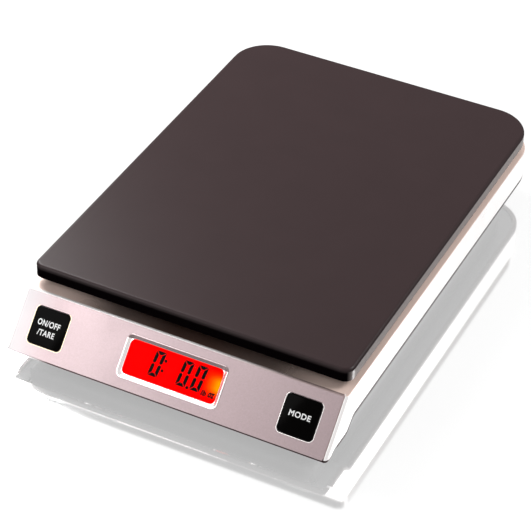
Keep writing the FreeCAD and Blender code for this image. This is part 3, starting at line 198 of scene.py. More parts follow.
class Graph:
    """The node graph of one material, with one Principled shader at its end."""

    def __init__(self, name: str) -> None:
        """Makes a new material with an empty graph.

        Args:
            name: the material's name.
        """
        self.material = bpy.data.materials.new(name)
        self.material.use_nodes = True
        self.tree = self.material.node_tree
        self.tree.nodes.clear()
        self.output = self.tree.nodes.new("ShaderNodeOutputMaterial")
        self.shader = self.tree.nodes.new("ShaderNodeBsdfPrincipled")
        self.tree.links.new(self.shader.outputs[0], self.output.inputs["Surface"])

    @classmethod
    def over(cls, tree: bpy.types.NodeTree) -> Graph:
        """A graph without a material, in a tree made elsewhere."""
        graph = cls.__new__(cls)
        graph.tree = tree
        return graph

    def node(self, kind: str, settings: Mapping[str, Any], sockets: Mapping[Any, Any],
             output: Union[int, str] = 0) -> Signal:
        """Adds one node: its settings first, then its sockets.

        Args:
            kind: node type.
            settings: attributes of the node, and "stops" for a ramp.
            sockets: a value or a Signal for each named or numbered input.
            output: the output that is wanted.

        Returns:
            That output.
        """
        made = self.tree.nodes.new(kind)
        for name, value in settings.items():
            if name == "stops":
                ramp = made.color_ramp
                while len(ramp.elements) < len(value):
                    ramp.elements.new(0.5)
                for element, (place, colour) in zip(ramp.elements, value):
                    element.position = place
                    element.color = (*colour, 1.0)
            else:
                setattr(made, name, value)
        for key, value in sockets.items():
            self.feed(made.inputs[key], value)
        return Signal(self, made.outputs[output])

    def feed(self, socket: bpy.types.NodeSocket, value: Any) -> None:
        """Links a Signal to a socket, or sets the socket's own value.

        Args:
            socket: the input socket.
            value: a Signal, a number or a colour.
        """
        if isinstance(value, Signal):
            self.tree.links.new(value.socket, socket)
        elif isinstance(value, tuple) and socket.type == "RGBA" and len(value) == 3:
            socket.default_value = (*value, 1.0)
        else:
            socket.default_value = value

    def set(self, **values: Any) -> None:
        """Feeds the Principled shader; underscores in a name stand for spaces."""
        for name, value in values.items():
            self.feed(self.shader.inputs[name.replace("_", " ")], value)

    def place(self, stretch: Sequence[float] = (1.0, 1.0, 1.0),
              centre: Sequence[float] = (0.0, 0.0, 0.0)) -> Signal:
        """Object coordinates, moved to a centre and stretched.

        Args:
            stretch: factor along each axis.
            centre: the point that becomes the origin, in metres.

        Returns:
            The coordinate vector.
        """
        source = self.node("ShaderNodeTexCoord", {}, {}, "Object")
        shift = tuple(-c * s for c, s in zip(centre, stretch))
        return self.node("ShaderNodeMapping", {"vector_type": "POINT"},
                         {"Vector": source, "Location": shift, "Scale": tuple(stretch)})

    def axes(self, vector: Signal) -> tuple[Signal, Signal, Signal]:
        """The three coordinates of a vector."""
        first = self.node("ShaderNodeSeparateXYZ", {}, {0: vector})
        outputs = first.socket.node.outputs
        return first, Signal(self, outputs[1]), Signal(self, outputs[2])

    def facing(self) -> Signal:
        """Way in which the surface faces, in object coordinates."""
        return self.node("ShaderNodeTexCoord", {}, {}, "Normal")

    def painted(self, socket: str) -> Signal:
        """What already feeds a socket of the shader."""
        return Signal(self, self.shader.inputs[socket].links[0].from_socket)

    def along(self, vector: Signal, direction: Sequence[float]) -> Signal:
        """How far a point lies along a direction."""
        return self.node("ShaderNodeVectorMath", {"operation": "DOT_PRODUCT"},
                         {0: vector, 1: tuple(direction)}, "Value")

    def noise(self, vector: Signal, scale: float, detail: float = 3.0) -> Signal:
        """Soft random pattern, 0 to 1."""
        return self.node("ShaderNodeTexNoise", {},
                         {"Vector": vector, "Scale": scale, "Detail": detail, "Roughness": 0.55})

    def cells(self, vector: Signal, scale: float, output: str = "Distance") -> Signal:
        """Pattern of small cells: the distance to each one's middle, or its own colour."""
        return self.node("ShaderNodeTexVoronoi", {"feature": "F1"},
                         {"Vector": vector, "Scale": scale}, output)

    def blend(self, share: Value, first: Any, second: Any) -> Signal:
        """Mixes two colours.

        Args:
            share: share of the second colour.
            first: colour or Signal.
            second: colour or Signal.

        Returns:
            The mixed colour.
        """
        return self.node("ShaderNodeMix", {"data_type": "RGBA", "clamp_factor": True},
                         {0: share, 6: first, 7: second}, 2)

    def relief(self, height: Signal, depth: float, strength: float = 1.0) -> None:
        """Bumps the surface.

        Args:
            height: 0 to 1 height.
            depth: height in metres that 1 stands for.
            strength: share of the effect.
        """
        self.set(Normal=self.node(
            "ShaderNodeBump", {}, {"Height": height, "Distance": depth, "Strength": strength}))


class Grain(Enum):
    """Ways in which a surface's fine grain can run."""

    EVEN = (1.0, 1.0, 1.0)
    ALONG_Y = (1.0, 0.03, 1.0)
    UPRIGHT = (1.0, 1.0, 0.03)


@dataclass(frozen=True)
class Finish:
    """A finish with mottling, a roughness that varies, and a fine grain in relief."""

    name: str
    colour: Colour
    roughness: float
    shade: float = 0.08
    roughness_swing: float = 0.06
    metallic: float = 0.0
    grain: Grain = Grain.EVEN
    grain_mm: float = 0.4
    relief_mm: float = 0.01
    specular: float = 0.5
    coat: float = 0.0
    coat_roughness: float = 0.12
    broad_scale: float = 45.0
    broad_share: float = 0.6

    @property
    def polish(self) -> Pair:
        """Least and greatest roughness."""
        return self.roughness - self.roughness_swing, self.roughness + self.roughness_swing

    def material(self) -> Material:
        """Builds the material.

        Returns:
            The material.
        """
        graph = Graph(self.name)
        self.paint(graph)
        return graph.material

    def paint(self, graph: Graph) -> None:
        """Fills a graph with this finish.

        Args:
            graph: the material's graph.
        """
        fine = graph.noise(graph.place(self.grain.value), 1 / (self.grain_mm * MM), 2.0)
        broad = graph.noise(graph.place(), self.broad_scale, 4.0)
        mottle = broad * self.broad_share + fine * (1 - self.broad_share)
        graph.set(
            Base_Color=graph.blend(mottle.spread(0.3, 0.7), *shades(self.colour, self.shade)),
            Roughness=(broad * 0.5 + fine * 0.5).spread(0.25, 0.75, *self.polish),
            Metallic=self.metallic, Coat_Weight=self.coat, Coat_Roughness=self.coat_roughness,
            Specular_IOR_Level=self.specular)
        graph.relief(fine, self.relief_mm * MM)


@dataclass(frozen=True)
class TopCoated(Finish):
    """Dark moulding with a satin coat on its flat top and a glossier one round its ends; coloured
    near black below the top edge, a painted shade, and warm on its end faces, a painted sheen.
    """

    # Colour below the top edge, near black against the top: a painted shade.
    shaded_side_colour: Colour = BLACK
    # Warm colour on the end faces: a painted sheen.
    end_sheen_colour: Colour = srgb(60, 38, 30)
    top_z: float = 0.0
    edge_mm: Pair = (2.6, 0.26)
    haze: float = 0.16
    end_facing: Pair = (0.55, 0.95)
    end_lift: Pair = (0.05, 0.3)
    end_gloss: float = 0.9
    coat_ior: float = 1.8
    coat_roughness: float = 0.3

    def paint(self, graph: Graph) -> None:
        """Fills a graph with this finish.

        Args:
            graph: the material's graph.
        """
        super().paint(graph)
        _, _, height = graph.axes(graph.place())
        coated = height.spread(*(self.top_z - depth for depth in metres(self.edge_mm)))
        sideways, _, upwards = graph.axes(graph.facing())
        endwise = abs(sideways).spread(*self.end_facing) * upwards.spread(*self.end_lift, 1.0, 0.0)
        # Below the top edge the colour is a painted shade, near black, and warm on the end faces as
        # a painted sheen.
        side = graph.blend(endwise, self.shaded_side_colour, self.end_sheen_colour)
        graph.set(Base_Color=graph.blend(coated, side, graph.painted("Base Color")),
                  Coat_Weight=coated * self.haze + endwise * self.end_gloss,
                  Coat_IOR=self.coat_ior)


@dataclass(frozen=True)
class MetallicPaint(Finish):
    """Satin metallic paint: fine flakes that catch the light one by one."""

    flake_mm: float = 0.12
    flake_shade: float = 0.1
    flake_weights: Colour = (0.4, 0.3, 0.3)
    flake_share: float = 0.7
    cloud_scale: float = 30.0

    def paint(self, graph: Graph) -> None:
        """Fills a graph with this finish.

        Args:
            graph: the material's graph.
        """
        point = graph.place()
        flake = graph.cells(point, 1 / (self.flake_mm * MM), "Color")
        glint = graph.along(flake, self.flake_weights)
        cloud = graph.noise(point, self.cloud_scale)
        tone = glint * self.flake_share + cloud * (1 - self.flake_share)
        graph.set(Base_Color=graph.blend(tone, *shades(self.colour, self.flake_shade)),
                  Roughness=cloud.spread(0.3, 0.7, *self.polish),
                  Metallic=self.metallic, Specular_IOR_Level=self.specular)
        graph.relief(glint, self.relief_mm * MM, 0.5)


@dataclass(frozen=True)
class CutSheet(MetallicPaint):
    """Satin metal sheet, coloured paler at its left end as painted light, with its cut rims
    coloured as a painted highlight that fades to the right, but for the lowest one, coloured dark
    as a painted shade.
    """

    outward: Vector = UPRIGHT
    rim_facing: Pair = (0.935, 0.975)
    # Near-white colour of the cut rims: a painted highlight.
    rim_painted_light_colour: Colour = srgb(252, 247, 246)
    rim_sheen: float = 0.5
    # The painted highlight on the upper rims fades to this colour towards the right.
    rim_highlight_fade_colour: Colour = srgb(160, 140, 138)
    rim_highlight_fade_mm: Pair = (0.0, 66.0)
    low_z: float = 0.0
    # Dark colour of the lowest rim: a painted shade, fading out at the left end.
    low_rim_shade_colour: Colour = srgb(70, 58, 58)
    low_rim_shade_fade_mm: Pair = (-84.0, -58.0)
    # Paler colour towards the left end: painted light.
    left_end_light_colour: Colour = srgb(154, 151, 152)
    left_end_light_mm: Pair = (-85.0, -62.0)

    def paint(self, graph: Graph) -> None:
        """Fills a graph with this finish.

        Args:
            graph: the material's graph.
        """
        super().paint(graph)
        rim = graph.along(graph.facing(), self.outward).spread(*self.rim_facing, 1.0, 0.0)
        across, _, height = graph.axes(graph.place())
        # Painted shade on the lowest rim and a painted highlight on the others, which fades towards
        # the right.
        low = graph.blend(across.spread(*metres(self.low_rim_shade_fade_mm)), self.colour, self.low_rim_shade_colour)
        upper = graph.blend(across.spread(*metres(self.rim_highlight_fade_mm)), self.rim_painted_light_colour, self.rim_highlight_fade_colour)
        rim_painted_light_colour = graph.blend(height < self.low_z, upper, low)
        # Painted light: the sheet is coloured paler towards its left end.
        pale = across.spread(*metres(self.left_end_light_mm), 1.0, 0.0)
        face = graph.blend(pale, graph.painted("Base Color"), self.left_end_light_colour)
        graph.set(Base_Color=graph.blend(rim, face, rim_painted_light_colour),
                  Metallic=self.metallic - rim * self.rim_sheen)


@dataclass(frozen=True)
class ShellPaint(MetallicPaint):
    """Housing paint: its ledge coloured warm, a painted reflection, and darker towards the middle,
    a painted shade, and duller at its ends; a dark band along its lower rim, a painted shade.
    """

    ledge_z: float = 0.0
    ledge_lift: Pair = (0.8, 0.95)
    # Warm ledge colour: a painted reflection of the platform's brown face.
    ledge_reflection_colour: Colour = srgb(250, 222, 210)
    ledge_metallic: float = 0.1
    ends_mm: Pair = (38.0, 74.0)
    # Across this span the ledge darkens towards a point near its middle: a painted shade.
    ledge_shade_mm: Pair = (5.0, 50.0)
    ledge_darkest_mm: float = 4.0
    ledge_shade_colour: Colour = srgb(176, 137, 124)
    # Dark band along the lower rim: a painted shade.
    rim_painted_light_colour: Colour = srgb(54, 40, 40)
    rim_mm: float = 2.3
    front_rim_mm: float = 0.7
    front_fade_mm: Pair = (-84.0, -58.0)
    front_y: float = 0.0
    arch_y: Pair = (0.0, 1.0)
    arch_z: Pair = (0.0, 0.0)

    def paint(self, graph: Graph) -> None:
        """Fills a graph with this finish.

        Args:
            graph: the material's graph.
        """
        super().paint(graph)
        across, back, height = graph.axes(graph.place())
        lift = graph.axes(graph.facing())[2]
        ledge = (height > self.ledge_z) * lift.spread(*self.ledge_lift)
        aside = abs(across - self.ledge_darkest_mm * MM)
        ends = ledge * aside.spread(*metres(self.ends_mm))
        # Painted reflection on the ledge, darker towards its middle as a painted shade.
        tone = graph.blend(aside.spread(*metres(self.ledge_shade_mm)), self.ledge_shade_colour, self.ledge_reflection_colour)
        warm = graph.blend(ledge, graph.painted("Base Color"), tone)
        behind = back > self.front_y
        reach = (behind * (self.rim_mm - self.front_rim_mm) + self.front_rim_mm) * MM
        foot = back.spread(*self.arch_y, *self.arch_z) + reach
        # Painted shade: a dark band along the lower rim that follows the side arch, is thinner at
        # the front and fades out at the front's left end.
        rim = (height < foot) * across.spread(*metres(self.front_fade_mm)).larger(behind)
        graph.set(Base_Color=graph.blend(rim, warm, self.rim_painted_light_colour),
                  Metallic=self.metallic - ends * (self.metallic - self.ledge_metallic))


@dataclass(frozen=True)
class KeyGloss(Finish):
    """Black gloss whose rounded edges catch the light."""

    outward: Vector = UPRIGHT
    edge_facing: Pair = (0.8, 0.96)
    edge_coat: float = 0.15

    def paint(self, graph: Graph) -> None:
        """Fills a graph with this finish.

        Args:
            graph: the material's graph.
        """
        super().paint(graph)
        edge = graph.along(graph.facing(), self.outward).spread(*self.edge_facing, 1.0, 0.0)
        graph.set(Coat_Weight=edge * self.edge_coat)


@dataclass(frozen=True)
class PaintedRimHighlight(Finish):
    """Cut edge of an opening coloured bright as a painted highlight, whose upper limb is coloured
    as dull as the sheet, a painted shade.
    """

    up_slope: Vector = UPRIGHT
    upper: float = 0.0
    # Dull colour of the upper limb: a painted shade against the painted highlight.
    upper_shade_colour: Colour = srgb(150, 134, 136)
    fade_mm: float = 0.4

    def paint(self, graph: Graph) -> None:
        """Fills a graph with this finish.

        Args:
            graph: the material's graph.
        """
        super().paint(graph)
        height = graph.along(graph.place(), self.up_slope)
        # Painted highlight all round the opening, with the upper limb coloured dull as a painted
        # shade.
        dull = height.spread(self.upper - self.fade_mm * MM, self.upper)
        graph.set(Base_Color=graph.blend(dull, graph.painted("Base Color"), self.upper_shade_colour))


@dataclass(frozen=True)
class Backlight:
    """Display cell lit from behind, with the glow of its lamp at one end."""

    name: str
    lamp: Vector
    up_slope: Vector
    outward: Vector
    lit_colour: Colour = srgb(200, 0, 0)
    unlit_colour: Colour = srgb(16, 8, 8)
    reach_mm: float = 7.4
    rise_mm: Pair = (1.2, 7.0)
    peak_green: int = 168
    steps: int = 4
    strength: float = 1.0
    ripple_scale: float = 260.0
    ripple_share: float = 0.02
    polish: Pair = (0.3, 0.4)

    def material(self) -> Material:
        """Builds the material.

        Returns:
            The material.
        """
        graph = Graph(self.name)
        point = graph.place(centre=self.lamp)
        ripple = graph.noise(point, self.ripple_scale, 2.0)
        across = abs(graph.axes(point)[0]) / (self.reach_mm * MM)
        level = abs(graph.along(point, self.up_slope)).spread(*metres(self.rise_mm), 1.0, 0.0)
        near = (1.0 - across + ripple * self.ripple_share).larger(0.0) * level
        stops = tuple(
            (step / self.steps, srgb(255, round(self.peak_green * step / self.steps), 0))
            for step in range(self.steps + 1))
        colour = graph.node("ShaderNodeValToRGB", {"stops": stops}, {"Fac": near})
        front = graph.along(graph.facing(), self.outward) > 0.5
        graph.set(Base_Color=graph.blend(front, self.unlit_colour, self.lit_colour),
                  Emission_Color=graph.blend(front, BLACK, colour),
                  Emission_Strength=self.strength, Specular_IOR_Level=0.0,
                  Roughness=ripple.spread(0.2, 0.8, *self.polish))
        return graph.material


@dataclass(frozen=True)
class ClearSheet:
    """Clear moulded sheet with a faint haze."""

    name: str
    tint: Colour
    haze_colour: Colour = (0.03, 0.03, 0.03)
    haze_scale: float = 90.0
    roughness: float = 0.05
    cover: float = 0.005

    def material(self) -> Material:
        """Builds the material.

        Returns:
            The material.
        """
        graph = Graph(self.name)
        haze = graph.noise(graph.place(), self.haze_scale, 4.0)
        graph.set(Base_Color=graph.blend(haze.spread(0.3, 0.7), self.tint, self.haze_colour),
                  Roughness=haze.spread(0.3, 0.8, self.roughness, self.roughness * 2),
                  Alpha=haze.spread(0.3, 0.7, self.cover * 0.8, self.cover * 1.2))
        return graph.material


@dataclass(frozen=True)
class FrameFinish(Finish):
    """Bright display frame with painted shade: darker on its upper limb, dark on the wall let into
    the housing.
    """

    up_slope: Vector = UPRIGHT
    outward: Vector = UPRIGHT
    wall: Pair = (0.0, 1.0)
    # Darker colours of the upper limb's inner wall and crest: a painted shade.
    upper_wall_shade_colour: Colour = srgb(122, 108, 108)
    crest_shade_colour: Colour = srgb(176, 160, 162)
    hidden: Pair = (-1.0, -1.0)
    # Near-black colour of the part sunk below the fascia's face: a painted shade.
    recess_shade_colour: Colour = srgb(20, 18, 18)
    side_facing: Pair = (0.75, 0.95)
    fade_mm: float = 0.25

    def paint(self, graph: Graph) -> None:
        """Fills a graph with this finish.

        Args:
            graph: the material's graph.
        """
        super().paint(graph)
        height = graph.along(graph.place(), self.up_slope)
        low, high = self.wall
        fade = self.fade_mm * MM
        bright = graph.painted("Base Color")
        # Painted shade on the upper limb's inner wall and crest, and near black on the sunk part.
        upper_wall_shaded = graph.blend(height.spread(low - fade, low), bright, self.upper_wall_shade_colour)
        sidewise = abs(graph.axes(graph.facing())[0]).spread(*self.side_facing)
        edge, face = self.hidden
        buried = (height < edge) * (graph.along(graph.place(), self.outward) < face)
        shown = graph.blend(height.spread(high, high + fade), upper_wall_shaded, self.crest_shade_colour)
        graph.set(Base_Color=graph.blend(buried, shown, self.recess_shade_colour),
                  Metallic=self.metallic - sidewise.larger(buried) * self.metallic)


@dataclass(frozen=True)
class BoardFinish:
    """Solder mask over copper tracks, with bare pads."""

    name: str
    up_slope: Vector
    mask_colour: Colour = srgb(18, 84, 44)
    track_colour: Colour = srgb(46, 128, 66)
    pad_colour: Colour = srgb(206, 205, 198)
    pitch_mm: float = 1.6
    track_mm: float = 0.6
    bend_mm: float = 2.0
    bends: tuple[float, float, float] = (60.0, 60.0, 60.0)
    runs: tuple[float, float, float] = (150.0, 40.0, 40.0)
    track_share: float = 0.48
    pad_share: float = 0.46
    pad_scale: float = 330.0
    pad_reach: float = 0.16
    grain_scale: float = 2400.0
    copper_mm: float = 0.04
    polish: Pair = (0.28, 0.4)

    def material(self) -> Material:
        """Builds the material.

        Returns:
            The material.
        """
        graph = Graph(self.name)
        point = graph.place()
        bend = graph.noise(graph.place(self.bends), 1.6, 0.0)
        rise = graph.along(point, self.up_slope) + bend * (self.bend_mm * MM)
        lane = abs(rise.wrapped(self.pitch_mm * MM) - self.pitch_mm * MM / 2)
        run = graph.noise(graph.place(self.runs), 1.0, 0.0)
        track = (lane < self.track_mm * MM / 2) * (run > self.track_share)
        pads = (graph.cells(point, self.pad_scale) < self.pad_reach) * (run < self.pad_share)
        mask = graph.blend(track, self.mask_colour, self.track_colour)
        fine = graph.noise(point, self.grain_scale, 2.0)
        graph.set(Base_Color=graph.blend(pads, mask, self.pad_colour),
                  Metallic=pads * 0.9, Roughness=fine.spread(0.3, 0.7, *self.polish))
        graph.relief(track * 0.8 + pads + fine * 0.1, self.copper_mm * MM)
        return graph.material


@dataclass(frozen=True)
class CellSleeve:
    """Shrunk sleeve of a battery, with a bright end cap and one plain band at its raised end.

    start and end are the X of the plain end and of the raised end; sleeve and band are shares of
    the way from one to the other.
    """

    name: str
    start: float
    end: float
    colour: Colour = srgb(30, 32, 36)
    band_colour: Colour = srgb(192, 118, 58)
    metal_colour: Colour = srgb(196, 196, 200)
    sleeve: Pair = (0.012, 0.955)
    band: float = 0.7
    grain_scale: float = 900.0
    film_mm: float = 0.06
    polish: Pair = (0.2, 0.34)

    def material(self) -> Material:
        """Builds the material.

        Returns:
            The material.
        """
        graph = Graph(self.name)
        x, _, _ = graph.axes(graph.place())
        share = (x - self.start) / (self.end - self.start)
        low, high = self.sleeve
        metal = (share < low).larger(share > high)
        banded = (share > self.band) * (share < high)
        fine = graph.noise(graph.place((0.2, 1.0, 1.0)), self.grain_scale, 2.0)
        film = graph.blend(banded, self.colour, self.band_colour)
        graph.set(Base_Color=graph.blend(metal, film, self.metal_colour), Metallic=metal,
                  Roughness=fine.spread(0.2, 0.8, *self.polish))
        graph.relief(fine + metal * -0.6, self.film_mm * MM)
        return graph.material


class Paint(Enum):
    """Finishes of the scale's pieces."""

    INK = Finish("key_print", srgb(252, 252, 252), 0.45, 0.03, 0.05, relief_mm=0.002)
    SEGMENT = Finish("display_segments", srgb(6, 10, 8), 0.5, 0.1, 0.05, relief_mm=0.001,
                     specular=0.04)
    STEEL = Finish("pressed_steel", srgb(186, 187, 190), 0.34, 0.06, 0.08, metallic=1.0,
                   grain=Grain.ALONG_Y, grain_mm=0.25, relief_mm=0.004)
    SCREW = Finish("plated_screw", srgb(172, 173, 178), 0.28, 0.1, 0.1, metallic=1.0,
                   relief_mm=0.003)
    ALUMINIUM = Finish("milled_aluminium", srgb(205, 207, 210), 0.32, 0.05, 0.07, metallic=1.0,
                       grain=Grain.ALONG_Y, grain_mm=0.2, relief_mm=0.006)
    GAUGE = Finish("sealed_gauge", srgb(222, 214, 196), 0.45, 0.1, 0.08, relief_mm=0.03,
                   grain_mm=0.8)
    TRAY = Finish("moulded_tray", srgb(58, 57, 59), 0.52, 0.04, 0.06, grain_mm=0.3, relief_mm=0.015)
    FOOT = Finish("rubber_foot", srgb(38, 38, 40), 0.78, 0.15, 0.08, grain_mm=0.35, relief_mm=0.03,
                  specular=0.3)
    MILKY = Finish("light_guide", srgb(232, 228, 224), 0.35, 0.03, 0.05, relief_mm=0.004, coat=0.3)
    HOLDER = Finish("display_holder", srgb(228, 226, 222), 0.5, 0.04, 0.06, relief_mm=0.01)
    STRIP = Finish("contact_strip", srgb(60, 58, 60), 0.7, 0.25, 0.08, grain=Grain.UPRIGHT,
                   grain_mm=0.2, relief_mm=0.02)
    CHIP = Finish("moulded_chip", srgb(32, 32, 34), 0.55, 0.12, 0.06, grain_mm=0.15,
                  relief_mm=0.008)
    PART = Finish("board_parts", srgb(218, 212, 198), 0.5, 0.12, 0.08, relief_mm=0.01)
    SWITCH = Finish("switch_frame", srgb(52, 52, 54), 0.45, 0.15, 0.08, relief_mm=0.01)
    PLUNGER = Finish("switch_plunger", srgb(30, 30, 32), 0.5, 0.15, 0.08, relief_mm=0.01)
    SPRING = Finish("nickel_contact", srgb(200, 196, 186), 0.22, 0.06, 0.06, metallic=1.0,
                    relief_mm=0.002)
    LEAD_GREY = Finish("lead_jacket_grey", srgb(142, 144, 148), 0.48, 0.06, 0.06, relief_mm=0.01)
    LEAD_RED = Finish("lead_jacket_red", srgb(160, 26, 24), 0.46, 0.08, 0.06, relief_mm=0.01)


@dataclass(frozen=True)
class Extent:
    """Where a piece lies in the panel's plane, in metres."""

    x: Pair
    v: Pair
    n: Pair

    @property
    def centre(self) -> Pair:
        """Middle of the piece, across and up the slope."""
        return sum(self.x) / 2, sum(self.v) / 2


@dataclass(frozen=True)
class PanelPlane:
    """The sloped panel's own axes: x across, v up the slope, n out of it."""

    up_slope: Vector
    outward: Vector

    @classmethod
    def from_press(cls, joints: Sequence[Mapping[str, Any]], name: str) -> PanelPlane:
        """Reads the slope from the axis that a key is pressed along.

        Args:
            joints: the frame's joints.
            name: the key's joint.

        Returns:
            The plane.
        """
        axis = next(Vector(joint["axis"]) for joint in joints if joint["name"] == name)
        outward = -axis.normalized()
        return cls(up_slope=Vector((0.0, outward.z, -outward.y)), outward=outward)

    @property
    def axes(self) -> tuple[Vector, Vector, Vector]:
        """The plane's three directions."""
        return ACROSS, self.up_slope, self.outward

    def extent(self, node: Object) -> Extent:
        """Extent of a node in this plane.

        Args:
            node: the node's object.

        Returns:
            Its least and greatest place along each direction.
        """
        ranges = []
        for axis in self.axes:
            reach = [vertex.co.dot(axis) for vertex in node.data.vertices]
            ranges.append((min(reach), max(reach)))
        return Extent(*ranges)

    def frame(self, x: float, v: float, n: float) -> Matrix:
        """Carries a shape drawn flat at the origin to a place on the panel.

        Args:
            x: place across, metres.
            v: place up the slope, metres.
            n: height out of it, metres.

        Returns:
            The transform.
        """
        across, up_slope, outward = self.axes
        turn = Matrix(self.axes).transposed().to_4x4()
        return Matrix.Translation(across * x + up_slope * v + outward * n) @ turn


def added(name: str, data: bpy.types.ID) -> Object:
    """A new object in the scene, made of a mesh, a lamp or other data."""
    made = bpy.data.objects.new(name, data)
    bpy.context.scene.collection.objects.link(made)
    return made


class Workshop:
    """Makes pieces and hangs them on the frame."""

    def __init__(self, frame: Mapping[str, Any]) -> None:
        """Keeps the loaded frame."""
        self.nodes: Mapping[str, Object] = frame["nodes"]
        self.joints: Sequence[Mapping[str, Any]] = frame["joints"]
        self.panel = PanelPlane.from_press(self.joints, "mode_press")
        self._materials: dict[str, Material] = {}

    def material(self, finish: Any) -> Material:
        """The material of a finish, made once."""
        made = finish.value if isinstance(finish, Enum) else finish
        if made.name not in self._materials:
            self._materials[made.name] = made.material()
        return self._materials[made.name]

    def dress(self, finish: Any, *names: str) -> None:
        """Gives carried-over nodes a finish.

        Args:
            finish: a Paint or a finish.
            names: the nodes.
        """
        for name in names:
            slots = self.nodes[name].data.materials
            for index in range(len(slots)):
                slots[index] = self.material(finish)
            if not slots:
                slots.append(self.material(finish))
            LOG.info("dressed %s", name)

    def piece(self, name: str, work: BMesh, finish: Any, body: str, slot: str) -> None:
        """Turns finished mesh work into a piece of the object.

        Args:
            name: the piece's name.
            work: the mesh in its place; it is freed here.
            finish: a Paint or a finish.
            body: the body that it rides on.
            slot: the record's material slot; not used.
        """
        bmesh.ops.recalc_face_normals(work, faces=work.faces)
        mesh = bpy.data.meshes.new(name)
        work.to_mesh(mesh)
        work.free()
        mesh.materials.append(self.material(finish))
        made = added(name, mesh)
        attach(made, body)
        LOG.info("built %s: %d faces on %s", name, len(mesh.polygons), body)

    def extent(self, node: str) -> Extent:
        """Extent of a node in the panel's plane."""
        return self.panel.extent(self.nodes[node])

    def fascia_face(self) -> float:
        """Height of the fascia's face, in metres out of the panel's plane."""
        return self.extent("control_panel_fascia").n[1]

    def surface(self, node: str) -> BVHTree:
        """Search tree over a node's surface."""
        mesh = self.nodes[node].data
        return BVHTree.FromPolygons([vertex.co for vertex in mesh.vertices],
                                    [polygon.vertices for polygon in mesh.polygons])


def carry(work: BMesh, matrix: Matrix) -> BMesh:
    """Moves mesh work by a transform, and gives it back."""
    bmesh.ops.transform(work, matrix=matrix, verts=work.verts)
    return work


def resize(work: BMesh, *factors: float) -> None:
    """Scales mesh work about the origin, by one factor for each axis."""
    bmesh.ops.scale(work, verts=work.verts, vec=factors)


def lean(work: BMesh, slant: float) -> BMesh:
    """Slants flat mesh work to the right, and gives it back."""
    for vertex in work.verts:
        vertex.co.x += vertex.co.y * slant
    return work


def embolden(work: BMesh, reach: float, sharpest: float = 0.6) -> None:
    """Moves the outline of flat mesh work outwards.

    Args:
        work: flat mesh work in the XY plane.
        reach: how far each side of the outline moves.
        sharpest: cosine at which a sharp corner stops moving further out.
    """
    moves = []
    for vertex in work.verts:
        sides = []
        for edge in vertex.link_edges:
            if edge.is_boundary:
                first, second = (end.co for end in edge.verts)
                away = Vector((second.y - first.y, first.x - second.x, 0.0)).normalized()
                inner = edge.link_faces[0].calc_center_median() - (first + second) / 2
                sides.append(-away if away.dot(inner) > 0 else away)
        if len(sides) == 2:
            middle = (sides[0] + sides[1]).normalized()
            moves.append((vertex, middle * reach / max(middle.dot(sides[0]), sharpest)))
    for vertex, move in moves:
        vertex.co += move


def lettering(words: str, width: float, height: float, weight: float) -> BMesh:
    """Flat sans-serif words fitted to a width and a cap height, centred on the origin.

    Args:
        words: the words.
        width: width of the whole line.
        height: cap height, in the same unit.
        weight: how far each outline is moved outwards, in shares of the type size.

    Returns:
        The mesh work, flat in the XY plane.
    """
    curve = bpy.data.curves.new("lettering", "FONT")
    curve.body = words
    curve.resolution_u = LETTER_STEPS
    curve.space_character = LETTER_SPACING
    carrier = added("lettering", curve)
    bpy.context.view_layer.update()
    shown = carrier.evaluated_get(bpy.context.evaluated_depsgraph_get())
    mesh = bpy.data.meshes.new_from_object(shown)
    bpy.data.objects.remove(carrier)
    bpy.data.curves.remove(curve)
    work = bmesh.new()
    work.from_mesh(mesh)
    bpy.data.meshes.remove(mesh)
    bmesh.ops.remove_doubles(work, verts=work.verts, dist=WELD)
    embolden(work, weight)
    low, high = (Vector(map(limit, zip(*(vertex.co for vertex in work.verts))))
                 for limit in (min, max))
    size = high - low
    bmesh.ops.translate(work, verts=work.verts, vec=-(low + high) / 2)
    resize(work, width / size.x, height / size.y, 1.0)
    return work


def thicken(work: BMesh, step: Vector) -> None:
    """Raises every face of flat work along a step and closes its sides.

    Args:
        work: flat mesh work.
        step: the thickness as a vector.
    """
    raised = bmesh.ops.extrude_face_region(work, geom=work.faces[:])
    corners = [item for item in raised["geom"] if isinstance(item, bmesh.types.BMVert)]
    bmesh.ops.translate(work, verts=corners, vec=step)


def rounded(width: float, height: float, radius: float) -> BMesh:
    """Flat rectangle with round corners, centred on the origin.

    Args:
        width: width in metres.
        height: height in metres.
        radius: corner radius in metres.

    Returns:
        The mesh work, one face in the XY plane.
    """
    work = bmesh.new()
    bmesh.ops.create_grid(work, x_segments=1, y_segments=1, size=0.5)
    resize(work, width, height, 1.0)
    bmesh.ops.bevel(work, geom=work.verts[:], affect="VERTICES", offset=radius,
                    segments=CORNER_STEPS, profile=0.5, material=-1)
    return work


def gather(parts: Iterable[BMesh]) -> BMesh:
    """Joins several meshes under construction into one, and frees them.

    Args:
        parts: the mesh works.

    Returns:
        One mesh work.
    """
    whole = bmesh.new()
    for part in parts:
        carried = bpy.data.meshes.new("carried")
        part.to_mesh(carried)
        part.free()
        whole.from_mesh(carried)
        bpy.data.meshes.remove(carried)
    return whole


@dataclass
class SubAssembly:
    """Pieces that belong together, with the nodes among them that have a plain finish."""

    shop: Workshop
    dressing: ClassVar[Sequence[tuple[Paint, tuple[str, ...]]]] = ()

    def build(self) -> None:
        """Dresses the nodes that have a plain finish."""
        for finish, nodes in self.dressing:
            self.shop.dress(finish, *nodes)


